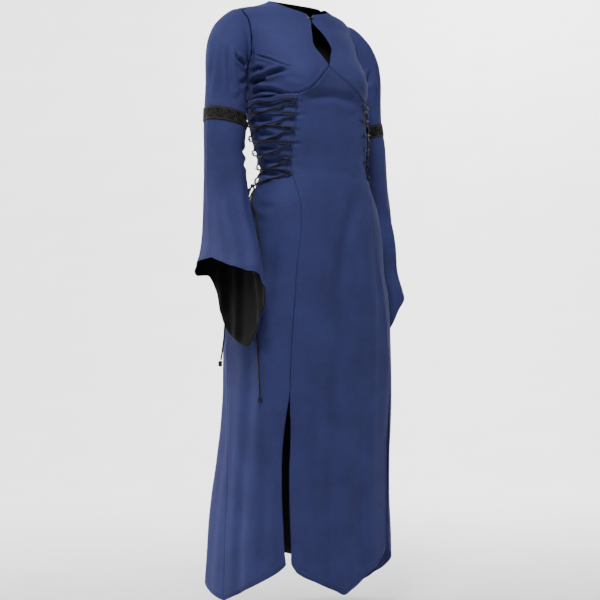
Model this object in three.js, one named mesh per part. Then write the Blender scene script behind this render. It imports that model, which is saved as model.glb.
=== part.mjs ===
import * as THREE from 'three';

// Sizes are in millimetres and angles in degrees. The origin is midway between the two neck
// points, where the dress sits on the shoulders: +Z is up, the front faces -Y and the
// wearer's right is -X. Angles round the body run from 0 at centre front to 180 at the back.
const CLOTH = 2;
const LINING = 1;
const TRIM = 1.2;
const SEAM_GAP = 0.3;
const SIDES = { right: -1, left: 1 };

const NECK_POINT_Z = -1.5;
const BACK_NECK_Z = 12;
const BACK_NECK_POWER = 0.6;
const SHOULDER_TIP_Z = -24.5;
const FRONT_NECK_Z = -33;
const KEYHOLE_TIP_Z = -163;
const LACED_TOP_Z = -245;
const ARMHOLE = { topY: 22, bottomY: 5, z: -98.5, front: 44, back: 38, height: 74 };
const BUST = { x: 86, z: -192, depth: 19, width: 50, height: 50 };

const LACE = 4;
const LOOP_CORD = 1.8;
const LACE_PAIRS = 6;
const LACE_PITCH = 33;
const FRONT_LOOP_Z = -256;
const BACK_LOOP_Z = -268;

const NAVY = 0x36436f;
const NAVY_FRONT = 0x2f3d66;
const BLACK = 0x111113;
const BRONZE = 0x2a261c;
const STEEL = 0x9a9ca2;

function table(columns, rows) {
  return rows.map((row) => Object.fromEntries(columns.map((name, i) => [name, row[i]])));
}

// Level sections of the dress: half the width, the middle's y, how far the front and the
// back stand from it, and how square each is (2 is an ellipse).
const SECTIONS = table(
  ['z', 'half', 'middle', 'front', 'back', 'frontPower', 'backPower'],
  [
    [14, 64, 8, 38, 34, 2, 2],
    [-2, 82, 8, 47, 42, 2, 2],
    [-12, 107, 15, 58, 51, 2, 2],
    [-25, 154, 22, 70, 57, 2.1, 2.1],
    [-45, 167, 22, 80, 68, 2.2, 2.2],
    [-89, 161, 6, 94, 98, 2.3, 2.3],
    [-130, 155, -8, 102, 112, 2.5, 2.4],
    [-172, 152, -18, 112, 122, 2.7, 2.4],
    [-210, 151, -24, 116, 122, 2.8, 2.4],
    [-250, 148, -30, 113, 114, 2.7, 2.3],
    [-320, 148, -43, 105, 98, 2.6, 2.2],
    [-380, 139, -57, 93, 91, 2.5, 2.2],
    [-405, 134, -62, 91, 90, 2.5, 2.2],
    [-440, 143, -64, 98, 97, 2.5, 2.2],
    [-500, 166, -62, 110, 118, 2.5, 2.2],
    [-583, 178, -57, 127, 139, 2.5, 2.3],
    [-640, 182, -53, 136, 147, 2.5, 2.3],
    [-700, 197, -50, 144, 149, 2.5, 2.4],
    [-780, 205, -48, 148, 153, 2.5, 2.5],
    [-900, 201, -48, 150, 158, 2.7, 2.6],
    [-1000, 198, -42, 150, 162, 2.9, 2.8],
    [-1080, 195, -28, 160, 168, 3, 2.9],
    [-1180, 197, -15, 170, 178, 3.2, 3],
    [-1260, 202, -14, 171, 184, 3.3, 3],
    [-1410, 205, -9, 175, 197, 3.3, 3],
  ],
);

// The seam between the front panel and the laced sides, which opens into the slit.
const PRINCESS = table(
  ['z', 'x', 'open'],
  [
    [-238, 95, 0],
    [-300, 100, 0],
    [-360, 107, 0],
    [-420, 110, 0],
    [-497, 104, 0],
    [-600, 117, 0],
    [-678, 128, 0],
    [-800, 140, 0],
    [-918, 146, 0],
    [-970, 148, 4],
    [-1050, 149, 7],
    [-1260, 147, 7],
    [-1320, 144, 4],
  ],
);

const SIDE_SEAM = table(
  ['z', 'y'],
  [
    [-172, 5],
    [-245, 0],
    [-330, -8],
    [-400, -14],
    [-480, -10],
    [-600, 0],
    [-1410, 6],
  ],
);

// The seam under each bust, from the keyhole's tip out to the princess seam.
const UNDER_BUST = table(
  ['x', 'z'],
  [
    [0, -163],
    [10, -174],
    [24, -187],
    [40, -202],
    [58, -217],
    [76, -229],
    [95, -238],
  ],
);

const KEYHOLE = table(
  ['z', 'x'],
  [
    [-33, 8],
    [-40, 4.5],
    [-47, 1.5],
    [-52, 2.5],
    [-73, 13],
    [-92, 20.5],
    [-112, 25.5],
    [-118, 25],
    [-136, 15],
    [-163, 0.4],
  ],
);

// The hem hangs in points at centre front and at each side seam.
const FRONT_HEM = table(
  ['x', 'z'],
  [
    [-141, -1302],
    [-127, -1324],
    [-78, -1350],
    [-24, -1375],
    [0, -1386],
    [24, -1375],
    [66, -1347],
    [105, -1325],
    [129, -1304],
    [141, -1286],
  ],
);
const SIDE_HEM = { corner: { right: -1302, left: -1286 }, tip: -1404, bow: 0.7 };
const BACK_HEM = { tip: -1404, middle: -1335, power: 1.8 };

// Sections of each sleeve below the cap, with x taken outward from the body.
const ARM_COLUMNS = ['z', 'x', 'y', 'across', 'deep'];
const ARMS = {
  right: table(ARM_COLUMNS, [
    [-200, 205, 1, 46.5, 46.5],
    [-320, 207, 0, 49.5, 50],
    [-370, 210, -1, 46.5, 47],
    [-435, 209, -6, 48, 54],
    [-511, 219, -26, 45, 70],
    [-571, 229, -48, 44.5, 90],
    [-610, 238, -62, 47, 102],
    [-643, 248, -74, 52, 114],
    [-703, 254, -92, 50, 118],
    [-820, 264, -100, 50, 124],
  ]),
  left: table(ARM_COLUMNS, [
    [-200, 205, 1, 46.5, 46.5],
    [-260, 206, 0, 46.5, 46.5],
    [-330, 217, -2, 49, 49],
    [-435, 225, -4, 47, 53],
    [-511, 228, -2, 46, 68],
    [-571, 231, 4, 45, 86],
    [-643, 239, 18, 46, 102],
    [-703, 248, 12, 46, 112],
    [-820, 258, 12, 46, 118],
  ]),
};

// The cap of each sleeve: each ring leans from a point at the underarm to one on top.
const CAP = table(
  ['innerX', 'innerZ', 'outerX', 'outerZ', 'y', 'deep'],
  [
    [153.5, -177, 178, -32, 13, 43],
    [154.5, -181, 202, -48, 10, 47],
    [155.5, -186, 226, -72, 8, 49],
    [156.5, -194, 243, -108, 5, 49],
    [157.5, -206, 251, -154, 2, 48],
  ],
);

// Where rings of the sleeve lie on its outer and inner side.
const UPPER_ARM_RING = { outer: -207, inner: -240 };
const BAND_TOP = { outer: -266, inner: -287 };
const BAND_MIDDLE = { outer: -281, inner: -302 };
const BAND_BOTTOM = { outer: -296, inner: -317 };

// The cuff's slanting edge, by the angle round the sleeve from its outer side to the front.
const CUFF_COLUMNS = ['around', 'z'];
const CUFF_EDGE = {
  right: table(CUFF_COLUMNS, [
    [0, -615],
    [50, -640],
    [100, -660],
    [120, -698],
    [150, -752],
    [180, -817],
    [205, -797],
    [226, -745],
    [234, -698],
    [252, -654],
    [280, -655],
    [318, -622],
    [360, -615],
  ]),
  left: table(CUFF_COLUMNS, [
    [0, -640],
    [40, -665],
    [60, -690],
    [80, -716],
    [100, -740],
    [125, -785],
    [150, -815],
    [180, -800],
    [220, -735],
    [260, -672],
    [300, -640],
    [360, -640],
  ]),
};
const CUFF_LINING_FIRST_ROW = 6;
const NECK_LINING_ROWS = 12;
const SKIRT_LINING_ROWS = 10;

function follow(rows, key, column) {
  const sorted = [...rows].sort((a, b) => a[key] - b[key]);
  const x = sorted.map((row) => row[key]);
  const y = sorted.map((row) => row[column]);
  const last = x.length - 1;
  const rise = x.slice(1).map((value, i) => (y[i + 1] - y[i]) / (value - x[i]));
  const slope = x.map((_, i) => {
    if (i === 0 || i === last) {
      return rise[Math.min(i, last - 1)];
    }
    const product = rise[i - 1] * rise[i];
    return product <= 0 ? 0 : (2 * product) / (rise[i - 1] + rise[i]);
  });
  return (at) => {
    const where = THREE.MathUtils.clamp(at, x[0], x[last]);
    let i = 0;
    while (i < last - 1 && where > x[i + 1]) {
      i += 1;
    }
    const span = x[i + 1] - x[i];
    const t = (where - x[i]) / span;
    const ease = t * t * (3 - 2 * t);
    const start = t * (1 - t) * (1 - t) * span * slope[i];
    const end = t * t * (t - 1) * span * slope[i + 1];
    return y[i] + (y[i + 1] - y[i]) * ease + start + end;
  };
}

const half = follow(SECTIONS, 'z', 'half');
const middle = follow(SECTIONS, 'z', 'middle');
const frontReach = follow(SECTIONS, 'z', 'front');
const backReach = follow(SECTIONS, 'z', 'back');
const frontPower = follow(SECTIONS, 'z', 'frontPower');
const backPower = follow(SECTIONS, 'z', 'backPower');
const princessX = follow(PRINCESS, 'z', 'x');
const slitOpening = follow(PRINCESS, 'z', 'open');
const sideSeamY = follow(SIDE_SEAM, 'z', 'y');
const underBustZ = follow(UNDER_BUST, 'x', 'z');
const keyholeX = follow(KEYHOLE, 'z', 'x');
const frontHemZ = follow(FRONT_HEM, 'x', 'z');

// Half a seam's gap, measured along z where the seam slopes.
function underBustGap(x) {
  const slope = underBustZ(x + 0.5) - underBustZ(Math.max(x - 0.5, 0));
  return (SEAM_GAP / 2) * Math.hypot(1, slope);
}

const radians = THREE.MathUtils.degToRad;
const mix = THREE.MathUtils.lerp;

// A point of the dress's outer face.
function bodyPoint(angle, z) {
  const sine = Math.sin(radians(angle));
  const cosine = Math.cos(radians(angle));
  const isFront = cosine >= 0;
  const power = isFront ? frontPower(z) : backPower(z);
  const reach = isFront ? frontReach(z) : backReach(z);
  const radius = (Math.abs(sine) ** power + Math.abs(cosine) ** power) ** (-1 / power);
  const x = half(z) * radius * sine;
  const overBust = ((Math.abs(x) - BUST.x) / BUST.width) ** 2 + ((z - BUST.z) / BUST.height) ** 2;
  const bust = BUST.depth * Math.exp(-overBust) * THREE.MathUtils.smoothstep(cosine, 0, 0.45);
  return new THREE.Vector3(x, middle(z) - reach * radius * cosine - bust, z);
}

function bodyNormal(angle, z) {
  const turn = 0.2;
  const drop = 0.5;
  const around = bodyPoint(angle + turn, z).sub(bodyPoint(angle - turn, z));
  const up = bodyPoint(angle, z + drop).sub(bodyPoint(angle, z - drop));
  return around.cross(up).normalize();
}

function frontAngleAtX(x, z) {
  const power = frontPower(z);
  const across = Math.min(Math.abs(x) / half(z), 1);
  const forward = (1 - across ** power) ** (1 / power);
  return THREE.MathUtils.radToDeg(Math.atan2(Math.sign(x) * across, forward));
}

function sideAngleAtY(y, z) {
  const offset = y - middle(z);
  const isFront = offset < 0;
  const power = isFront ? frontPower(z) : backPower(z);
  const reach = isFront ? frontReach(z) : backReach(z);
  const forward = Math.min(Math.abs(offset) / reach, 1);
  const across = (1 - forward ** power) ** (1 / power);
  return THREE.MathUtils.radToDeg(Math.atan2(across, isFront ? forward : -forward));
}

// A seam half a gap away from its line, towards the side given by its sign.
function insetAngle(angle, z, sign) {
  const turn = 0.5;
  const lengthPerDegree = bodyPoint(angle + turn, z).distanceTo(bodyPoint(angle - turn, z)) / (2 * turn);
  return angle + (sign * SEAM_GAP) / 2 / lengthPerDegree;
}

function steps(count, make) {
  return Array.from({ length: count + 1 }, (_, i) => make(i / count));
}

function chain(...runs) {
  return runs.flatMap((run, i) => (i === 0 ? run : run.slice(1)));
}

const princess = (z, sign = 0) => ({
  angle: insetAngle(frontAngleAtX(princessX(z) + sign * slitOpening(z), z), z, sign),
  z,
});
const sideSeam = (z, sign = 0) => ({ angle: insetAngle(sideAngleAtY(sideSeamY(z), z), z, sign), z });
const shoulderSeam = (z, sign = 0) => ({ angle: insetAngle(90, z, sign), z });

// The armhole, from the shoulder tip (0) round the front to the underarm (180) and back.
function armhole(around, sign = 0) {
  if (around % 360 === 0) {
    return shoulderSeam(SHOULDER_TIP_Z, sign);
  }
  if (around === 180) {
    return sideSeam(UNDERARM_Z, sign);
  }
  const across = Math.sin(radians(around));
  const up = Math.cos(radians(around));
  const z = ARMHOLE.z + ARMHOLE.height * up;
  const middleY = mix(ARMHOLE.bottomY, ARMHOLE.topY, (1 + up) / 2);
  const y = middleY - (across > 0 ? ARMHOLE.front : ARMHOLE.back) * across;
  return { angle: sideAngleAtY(y, z), z };
}

// The dress is alike on both sides: edges are found for the left and turned over.
const flip = (edge) => edge.map(({ angle, z }) => ({ angle: -angle, z }));

// Fills the field between four edges, each a list of places on the body.
function fill(top, bottom, first, last) {
  const columns = top.length - 1;
  const rows = first.length - 1;
  const corners = [top[0], top[columns], bottom[0], bottom[columns]];
  const blend = (key, i, j) => {
    const s = i / columns;
    const t = j / rows;
    const down = mix(top[i][key], bottom[i][key], t);
    const across = mix(first[j][key], last[j][key], s);
    const upper = mix(corners[0][key], corners[1][key], s);
    const lower = mix(corners[2][key], corners[3][key], s);
    return down + across - mix(upper, lower, t);
  };
  return first.map((_, j) => top.map((__, i) => ({ angle: blend('angle', i, j), z: blend('z', i, j) })));
}

// A wall closed between an outer and an inner grid of points.
function wall(outer, inner, isTube) {
  const rows = outer.length;
  const columns = outer[0].length;
  const points = [...outer.flat(), ...inner.flat()];
  const innerStart = rows * columns;
  const faces = [];
  const quad = (a, b, c, d) => faces.push(a, b, c, a, c, d);
  const around = isTube ? columns : columns - 1;
  for (let j = 0; j < rows - 1; j += 1) {
    for (let i = 0; i < around; i += 1) {
      const a = j * columns + i;
      const b = j * columns + ((i + 1) % columns);
      quad(a, a + columns, b + columns, b);
      quad(innerStart + a, innerStart + b, innerStart + b + columns, innerStart + a + columns);
    }
  }
  const rim = (path) => {
    for (let k = 0; k < path.length - 1; k += 1) {
      quad(path[k], path[k + 1], innerStart + path[k + 1], innerStart + path[k]);
    }
  };
  const row = (j) => Array.from({ length: around + 1 }, (_, i) => j * columns + (i % columns));
  const column = (i) => Array.from({ length: rows }, (_, j) => j * columns + i);
  rim(row(0));
  rim(row(rows - 1).reverse());
  if (!isTube) {
    rim(column(0).reverse());
    rim(column(columns - 1));
  }
  return closedGeometry(points, faces);
}

function closedGeometry(points, faces) {
  let volume = 0;
  for (let k = 0; k < faces.length; k += 3) {
    const [a, b, c] = [points[faces[k]], points[faces[k + 1]], points[faces[k + 2]]];
    volume += a.dot(new THREE.Vector3().crossVectors(b, c));
  }
  if (volume < 0) {
    faces.reverse();
  }
  const geometry = new THREE.BufferGeometry().setFromPoints(points);
  geometry.setIndex(faces);
  geometry.computeVertexNormals();
  return geometry;
}

function bodyWall(places, depth = 0, thickness = CLOTH) {
  const face = (inward) =>
    places.map((row) =>
      row.map(({ angle, z }) => bodyPoint(angle, z).addScaledVector(bodyNormal(angle, z), -inward)),
    );
  return wall(face(depth), face(depth + thickness), false);
}

const dress = new THREE.Group();

function add(name, geometry, color, roughness = 0.9, metalness = 0) {
  const material = new THREE.MeshStandardMaterial({ color, roughness, metalness });
  const mesh = new THREE.Mesh(geometry, material);
  mesh.name = name;
  dress.add(mesh);
}

// Steps round each sleeve, which the armhole shares.
const AROUND = 20;

// The side seam's upper end is the underarm. Rows lie close beside the lacing and wider
// apart towards the hem.
const UNDERARM_Z = ARMHOLE.z - ARMHOLE.height;
const LACED_BOTTOM_Z = -470;
const LACED_ROWS = 10;
const SKIRT_ROWS = 11;
const ROW_GROWTH = 1.25;
const SIDE_COLUMNS = 5;
const ARMHOLE_STEPS = AROUND / 2;
const UNDERARM_STEPS = 3;
const SHOULDER_STEPS = 3;

function panelLevels(top, bottom) {
  const laced = steps(LACED_ROWS, (t) => mix(top, LACED_BOTTOM_Z, t));
  const skirt = steps(SKIRT_ROWS, (t) => mix(LACED_BOTTOM_Z, bottom, t ** ROW_GROWTH));
  return [...laced, ...skirt.slice(1)];
}

function addFrontPanel() {
  const columns = 10;
  const halfWidth = princessX(PRINCESS[0].z);
  const top = steps(columns, (s) => {
    const x = mix(-halfWidth, halfWidth, s);
    const z = underBustZ(Math.abs(x)) - underBustGap(Math.abs(x));
    return { angle: frontAngleAtX(x, z), z };
  });
  const bottom = steps(columns, (s) => {
    const x = mix(FRONT_HEM[0].x, FRONT_HEM.at(-1).x, s);
    const z = frontHemZ(x);
    return { angle: frontAngleAtX(x, z), z };
  });
  const start = PRINCESS[0].z - SEAM_GAP / 2;
  const right = flip(panelLevels(start, SIDE_HEM.corner.right).map((z) => princess(z, -1)));
  const left = panelLevels(start, SIDE_HEM.corner.left).map((z) => princess(z, -1));
  top[0] = right[0];
  top[columns] = left[0];
  bottom[0] = right.at(-1);
  bottom[columns] = left.at(-1);
  add('front_panel', bodyWall(fill(top, bottom, right, left)), NAVY_FRONT);
}

function addBodiceFront(side) {
  const columns = SIDE_COLUMNS + 5;
  const lacedShare = SIDE_COLUMNS / columns;
  const neck = steps(columns, (s) => {
    const angle = mix(shoulderSeam(NECK_POINT_Z, -1).angle, frontAngleAtX(KEYHOLE[0].x, FRONT_NECK_Z), s);
    const slope = 1 - Math.cos(radians(90 * (1 - Math.abs(angle) / 90)));
    return { angle, z: mix(NECK_POINT_Z, FRONT_NECK_Z, slope) };
  });
  const outside = chain(
    steps(SHOULDER_STEPS, (t) => shoulderSeam(mix(NECK_POINT_Z, SHOULDER_TIP_Z, t), -1)),
    steps(ARMHOLE_STEPS, (t) => armhole(180 * t, -1)),
    steps(UNDERARM_STEPS, (t) => sideSeam(mix(UNDERARM_Z, LACED_TOP_Z + SEAM_GAP / 2, t), -1)),
  );
  const edgeRows = outside.length - 1;
  const edge = steps(edgeRows, (t) => {
    const z = mix(FRONT_NECK_Z, KEYHOLE_TIP_Z, t);
    return { angle: frontAngleAtX(keyholeX(z), z), z };
  });
  const lowerEnd = PRINCESS[0].z + SEAM_GAP / 2;
  const cornerX = princessX(PRINCESS[0].z);
  const seam = steps(columns, (s) => {
    const start = outside.at(-1);
    if (s < lacedShare) {
      const share = s / lacedShare;
      const cornerAngle = frontAngleAtX(cornerX, lowerEnd);
      return { angle: mix(start.angle, cornerAngle, share), z: mix(start.z, lowerEnd, share) };
    }
    const x = mix(cornerX, 0, (s - lacedShare) / (1 - lacedShare));
    const z = underBustZ(x) + underBustGap(x);
    return { angle: frontAngleAtX(Math.max(x, KEYHOLE.at(-1).x), z), z };
  });
  edge[0] = { ...neck[columns] };
  edge[edgeRows] = { ...seam[columns] };
  const turned = side === 'right' ? flip : (list) => list;
  const places = fill(turned(neck), turned(seam), turned(outside), turned(edge));
  add(`bodice_front_${side}`, bodyWall(places), NAVY);
}

function addSidePanel(side) {
  const top = LACED_TOP_Z - SEAM_GAP / 2;
  const frontTop = PRINCESS[0].z - SEAM_GAP / 2;
  const front = panelLevels(frontTop, SIDE_HEM.corner[side]).map((z) => princess(z, 1));
  const back = panelLevels(top, SIDE_HEM.tip).map((z) => sideSeam(z, -1));
  const across = (a, b, bow) =>
    steps(SIDE_COLUMNS, (s) => ({ angle: mix(a.angle, b.angle, s), z: mix(a.z, b.z, s ** bow) }));
  const upper = across(front[0], back[0], 1);
  const lower = across(front.at(-1), back.at(-1), SIDE_HEM.bow);
  const turned = side === 'right' ? flip : (list) => list;
  const places = fill(turned(upper), turned(lower), turned(front), turned(back));
  add(`side_panel_${side}`, bodyWall(places), NAVY);
}

const roundBack = (edge) => edge.map(({ angle, z }) => ({ angle: 360 - angle, z }));

// The back is one piece; its lining is built where the neck, keyhole and slits show it.
function addBack() {
  const columns = 12;
  const left = chain(
    steps(SHOULDER_STEPS, (t) => shoulderSeam(mix(NECK_POINT_Z, SHOULDER_TIP_Z, t), 1)),
    steps(ARMHOLE_STEPS, (t) => armhole(360 - 180 * t, 1)),
    steps(UNDERARM_STEPS, (t) => sideSeam(mix(UNDERARM_Z, LACED_TOP_Z, t), 1)),
    panelLevels(LACED_TOP_Z, BACK_HEM.tip).map((z) => sideSeam(z, 1)),
  );
  const right = roundBack(left);
  const across = (a, b, middleZ, power) =>
    steps(columns, (s) => ({
      angle: mix(a.angle, b.angle, s),
      z: mix(a.z, middleZ, Math.sin(Math.PI * s) ** power),
    }));
  const top = across(left[0], right[0], BACK_NECK_Z, BACK_NECK_POWER);
  const bottom = across(left.at(-1), right.at(-1), BACK_HEM.middle, BACK_HEM.power);
  const places = fill(top, bottom, left, right);
  const depth = CLOTH + SEAM_GAP;
  add('back_panel', bodyWall(places), NAVY);
  add('lining_neck', bodyWall(places.slice(0, NECK_LINING_ROWS), depth, LINING), BLACK, 0.95);
  add('lining_skirt', bodyWall(places.slice(-SKIRT_LINING_ROWS), depth, LINING), BLACK, 0.95);
}

function armSection(side) {
  const rows = ARMS[side];
  return {
    x: follow(rows, 'z', 'x'),
    y: follow(rows, 'z', 'y'),
    across: follow(rows, 'z', 'across'),
    deep: follow(rows, 'z', 'deep'),
  };
}

// A point of a sleeve's outer face; around is 0 at the outer side and 90 at the front.
function armPoint(side, arm, around, z, outward = 0) {
  const cosine = Math.cos(radians(around));
  const sine = Math.sin(radians(around));
  const lean = new THREE.Vector2(cosine / arm.across(z), sine / arm.deep(z)).normalize();
  const x = arm.x(z) + arm.across(z) * cosine + outward * lean.x;
  const y = arm.y(z) - arm.deep(z) * sine - outward * lean.y;
  return new THREE.Vector3(SIDES[side] * x, y, z);
}

const ringZ = (ring, around) =>
  mix(ring.outer, ring.inner, (1 - Math.cos(radians(around))) / 2);

const turns = Array.from({ length: AROUND }, (_, i) => (360 * i) / AROUND);

// The first ring lies inside the armhole, on the body; later rings are free.
function armholeRing(side, inward) {
  const centreY = (ARMHOLE.topY + ARMHOLE.bottomY) / 2;
  const centre = new THREE.Vector3(SIDES[side] * half(ARMHOLE.z), centreY, ARMHOLE.z);
  return turns.map((around) => {
    const hole = armhole(around);
    const angle = SIDES[side] * hole.angle;
    const point = bodyPoint(angle, hole.z);
    const normal = bodyNormal(angle, hole.z);
    const toCentre = centre.clone().sub(point);
    toCentre.addScaledVector(normal, -toCentre.dot(normal)).normalize();
    return point.addScaledVector(toCentre, SEAM_GAP + inward);
  });
}

function capRing(side, ring, inward) {
  const middleX = (ring.innerX + ring.outerX) / 2;
  const middleZ = (ring.innerZ + ring.outerZ) / 2;
  const long = Math.hypot(ring.outerX - ring.innerX, ring.outerZ - ring.innerZ) / 2;
  return turns.map((around) => {
    const up = ((long - inward) / long) * Math.cos(radians(around));
    const x = middleX + ((ring.outerX - ring.innerX) / 2) * up;
    const z = middleZ + ((ring.outerZ - ring.innerZ) / 2) * up;
    return new THREE.Vector3(SIDES[side] * x, ring.y - (ring.deep - inward) * Math.sin(radians(around)), z);
  });
}

function addSleeveUpper(side) {
  const arm = armSection(side);
  const ends = [UPPER_ARM_RING, BAND_TOP, BAND_MIDDLE];
  const face = (inward) => {
    const lower = ends.map((ring) =>
      turns.map((around) => armPoint(side, arm, around, ringZ(ring, around), -inward)),
    );
    lower.at(-1).forEach((point) => point.setZ(point.z + SEAM_GAP / 2));
    return [armholeRing(side, inward), ...CAP.map((ring) => capRing(side, ring, inward)), ...lower];
  };
  add(`sleeve_upper_${side}`, wall(face(0), face(CLOTH), true), NAVY);
}

function addSleeveBand(side) {
  const arm = armSection(side);
  const rings = [BAND_TOP, BAND_MIDDLE, BAND_BOTTOM];
  const face = (outward) =>
    rings.map((ring) => turns.map((around) => armPoint(side, arm, around, ringZ(ring, around), outward)));
  add(`sleeve_band_${side}`, wall(face(SEAM_GAP + TRIM), face(SEAM_GAP), true), BRONZE);
}

// Rows of the lower sleeve, from the elbow seam to the cuff's edge. The second row lies
// under the band's lower edge.
const LOWER_ARM_ROWS = 10;

function lowerArmRows(side, rows, inward) {
  const arm = armSection(side);
  const edge = follow(CUFF_EDGE[side], 'around', 'z');
  return rows.map((row) =>
    turns.map((around) => {
      const seam = ringZ(BAND_MIDDLE, around) - SEAM_GAP / 2;
      const underBand = ringZ(BAND_BOTTOM, around);
      const z = mix(underBand, edge(around), (row - 1) / (LOWER_ARM_ROWS - 1));
      return armPoint(side, arm, around, row === 0 ? seam : z, -inward);
    }),
  );
}

const lowerArmRange = (first) =>
  Array.from({ length: LOWER_ARM_ROWS + 1 - first }, (_, i) => first + i);

function addSleeveLower(side) {
  const rows = lowerArmRange(0);
  const geometry = wall(lowerArmRows(side, rows, 0), lowerArmRows(side, rows, CLOTH), true);
  add(`sleeve_lower_${side}`, geometry, NAVY);
}

function addCuffLining(side) {
  const rows = lowerArmRange(CUFF_LINING_FIRST_ROW);
  const depth = CLOTH + SEAM_GAP;
  const outer = lowerArmRows(side, rows, depth);
  const inner = lowerArmRows(side, rows, depth + LINING);
  add(`cuff_lining_${side}`, wall(outer, inner, true), BLACK, 0.95);
}

// A curve through chosen points that gives a tube its steps at those points.
class Route extends THREE.CatmullRomCurve3 {
  getPointAt(share, target) {
    return this.getPoint(share, target);
  }

  getTangentAt(share, target) {
    return this.getTangent(share, target);
  }
}

function cord(points, diameter, sides, stepsBetween = 1) {
  const ring = new THREE.Shape();
  for (let i = 0; i < sides; i += 1) {
    const angle = (2 * Math.PI * i) / sides;
    const place = [(diameter / 2) * Math.cos(angle), (diameter / 2) * Math.sin(angle)];
    if (i === 0) {
      ring.moveTo(...place);
    } else {
      ring.lineTo(...place);
    }
  }
  ring.closePath();
  const extrudePath = new Route(points, false, 'centripetal');
  const stepCount = (points.length - 1) * stepsBetween;
  return new THREE.ExtrudeGeometry(ring, { steps: stepCount, extrudePath, bevelEnabled: false });
}

// A place over the laced side, from the princess seam (0) to the side seam (1).
function overSide(side, share, z, lift) {
  const angle = SIDES[side] * mix(princess(z).angle, sideSeam(z).angle, share);
  return bodyPoint(angle, z).addScaledVector(bodyNormal(angle, z), lift);
}

// A place over the dress by its y, on the outer side.
function overAtY(side, y, z, lift) {
  const angle = SIDES[side] * sideAngleAtY(y, z);
  return bodyPoint(angle, z).addScaledVector(bodyNormal(angle, z), lift);
}

// Where a loop stands on its seam: forward runs from the seam over the laced side.
function loopFrame(side, isFront, z) {
  const seam = isFront ? princess(z) : sideSeam(z);
  const angle = SIDES[side] * seam.angle;
  const forward = bodyPoint(angle + SIDES[side], z).sub(bodyPoint(angle - SIDES[side], z));
  forward.normalize().multiplyScalar(isFront ? 1 : -1);
  return { point: bodyPoint(angle, z), forward, normal: bodyNormal(angle, z) };
}

function loopPlace(frame, along, lift) {
  return frame.point.clone().addScaledVector(frame.forward, along).addScaledVector(frame.normal, lift);
}

const loopZ = (isFront, pair) => (isFront ? FRONT_LOOP_Z : BACK_LOOP_Z) - pair * LACE_PITCH;

// A loop lies over the seam and stands round the lace, seen along the lace.
const LOOP_SHAPE = table(
  ['along', 'lift'],
  [
    [-7, -3.8],
    [0.6, -3.8],
    [3.9, -1.6],
    [3.9, 1.6],
    [0.6, 3.9],
    [-7, -0.9],
  ],
);
const LACE_APEX = { along: 4.8, lift: 5.6 };

function addLaceLoops(side) {
  for (const isFront of [true, false]) {
    for (let pair = 0; pair < LACE_PAIRS; pair += 1) {
      const frame = loopFrame(side, isFront, loopZ(isFront, pair));
      const points = LOOP_SHAPE.map(({ along, lift }) =>
        loopPlace(frame, LACE_APEX.along + along, LACE_APEX.lift + lift),
      );
      const row = isFront ? 'front' : 'back';
      add(`lace_loop_${side}_${row}_${pair + 1}`, cord(points, LOOP_CORD, 5), NAVY);
    }
  }
}

// The lace between two seams: one strand lies on the cloth, the other crosses over it.
const LACE_TURN = { share: 0.14, rise: 6.2, lift: 4.2, along: 8, half: 4.5 };
const LACE_LIFT = { low: 3.4, high: 7.9 };
const CROSSING_SHARES = [0.22, 0.36, 0.5, 0.64, 0.78];

function laceTurn(side, isFront, pair) {
  const z = loopZ(isFront, pair);
  const share = isFront ? LACE_TURN.share : 1 - LACE_TURN.share;
  const near = (dz, along) => loopPlace(loopFrame(side, isFront, z + dz), along, LACE_APEX.lift);
  return [
    overSide(side, share, z + LACE_TURN.rise, LACE_TURN.lift),
    near(LACE_TURN.half, LACE_TURN.along),
    near(0, LACE_APEX.along),
    near(-LACE_TURN.half, LACE_TURN.along),
    overSide(side, share, z - LACE_TURN.rise, LACE_TURN.lift),
  ];
}

function laceCrossing(side, fromZ, toZ, startsFront, middleLift) {
  return CROSSING_SHARES.map((share) => {
    const hump = Math.sin(Math.PI * share) ** 3;
    const across = startsFront ? share : 1 - share;
    return overSide(side, across, mix(fromZ, toZ, share), mix(LACE_TURN.lift, middleLift, hump));
  });
}

const KNOT = { share: 0.9, z: -447, lift: 8.5, wide: 10, high: 11 };
const KNOT_ENTRY = 4;

function addLace(side, name, startsFront, middleLift) {
  const route = [];
  let isFront = startsFront;
  const topZ = (FRONT_LOOP_Z + BACK_LOOP_Z) / 2 + LACE_TURN.rise;
  const half = startsFront ? -1 : 1;
  route.push(overSide(side, 0.5 + half * 0.004, topZ, LACE_LIFT.low));
  route.push(overSide(side, 0.5 + half * 0.2, topZ, LACE_TURN.lift));
  for (let pair = 0; pair < LACE_PAIRS; pair += 1) {
    route.push(...laceTurn(side, isFront, pair));
    if (pair < LACE_PAIRS - 1) {
      const from = loopZ(isFront, pair) - LACE_TURN.rise;
      const to = loopZ(!isFront, pair + 1) + LACE_TURN.rise;
      route.push(...laceCrossing(side, from, to, isFront, middleLift));
    }
    isFront = !isFront;
  }
  const endsFront = !isFront;
  if (endsFront) {
    const from = loopZ(true, LACE_PAIRS - 1) - LACE_TURN.rise;
    route.push(...laceCrossing(side, from, KNOT.z, true, LACE_TURN.lift));
  }
  const entry = overSide(side, KNOT.share, KNOT.z + (endsFront ? -KNOT_ENTRY : KNOT_ENTRY), KNOT.lift);
  const run = entry.clone().sub(route.at(-1));
  const reach = run.length() - KNOT.high / 2 - SEAM_GAP;
  route.push(route.at(-1).clone().addScaledVector(run.normalize(), reach));
  add(`lace_${side}_${name}`, cord(route, LACE, 6), BLACK, 0.85);
}

function addBead(name, centre, size) {
  const bead = new THREE.SphereGeometry(0.5, 8, 6);
  bead.scale(size.wide, size.wide, size.high);
  bead.translate(centre.x, centre.y, centre.z);
  add(name, bead, BLACK, 0.85);
}

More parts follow.
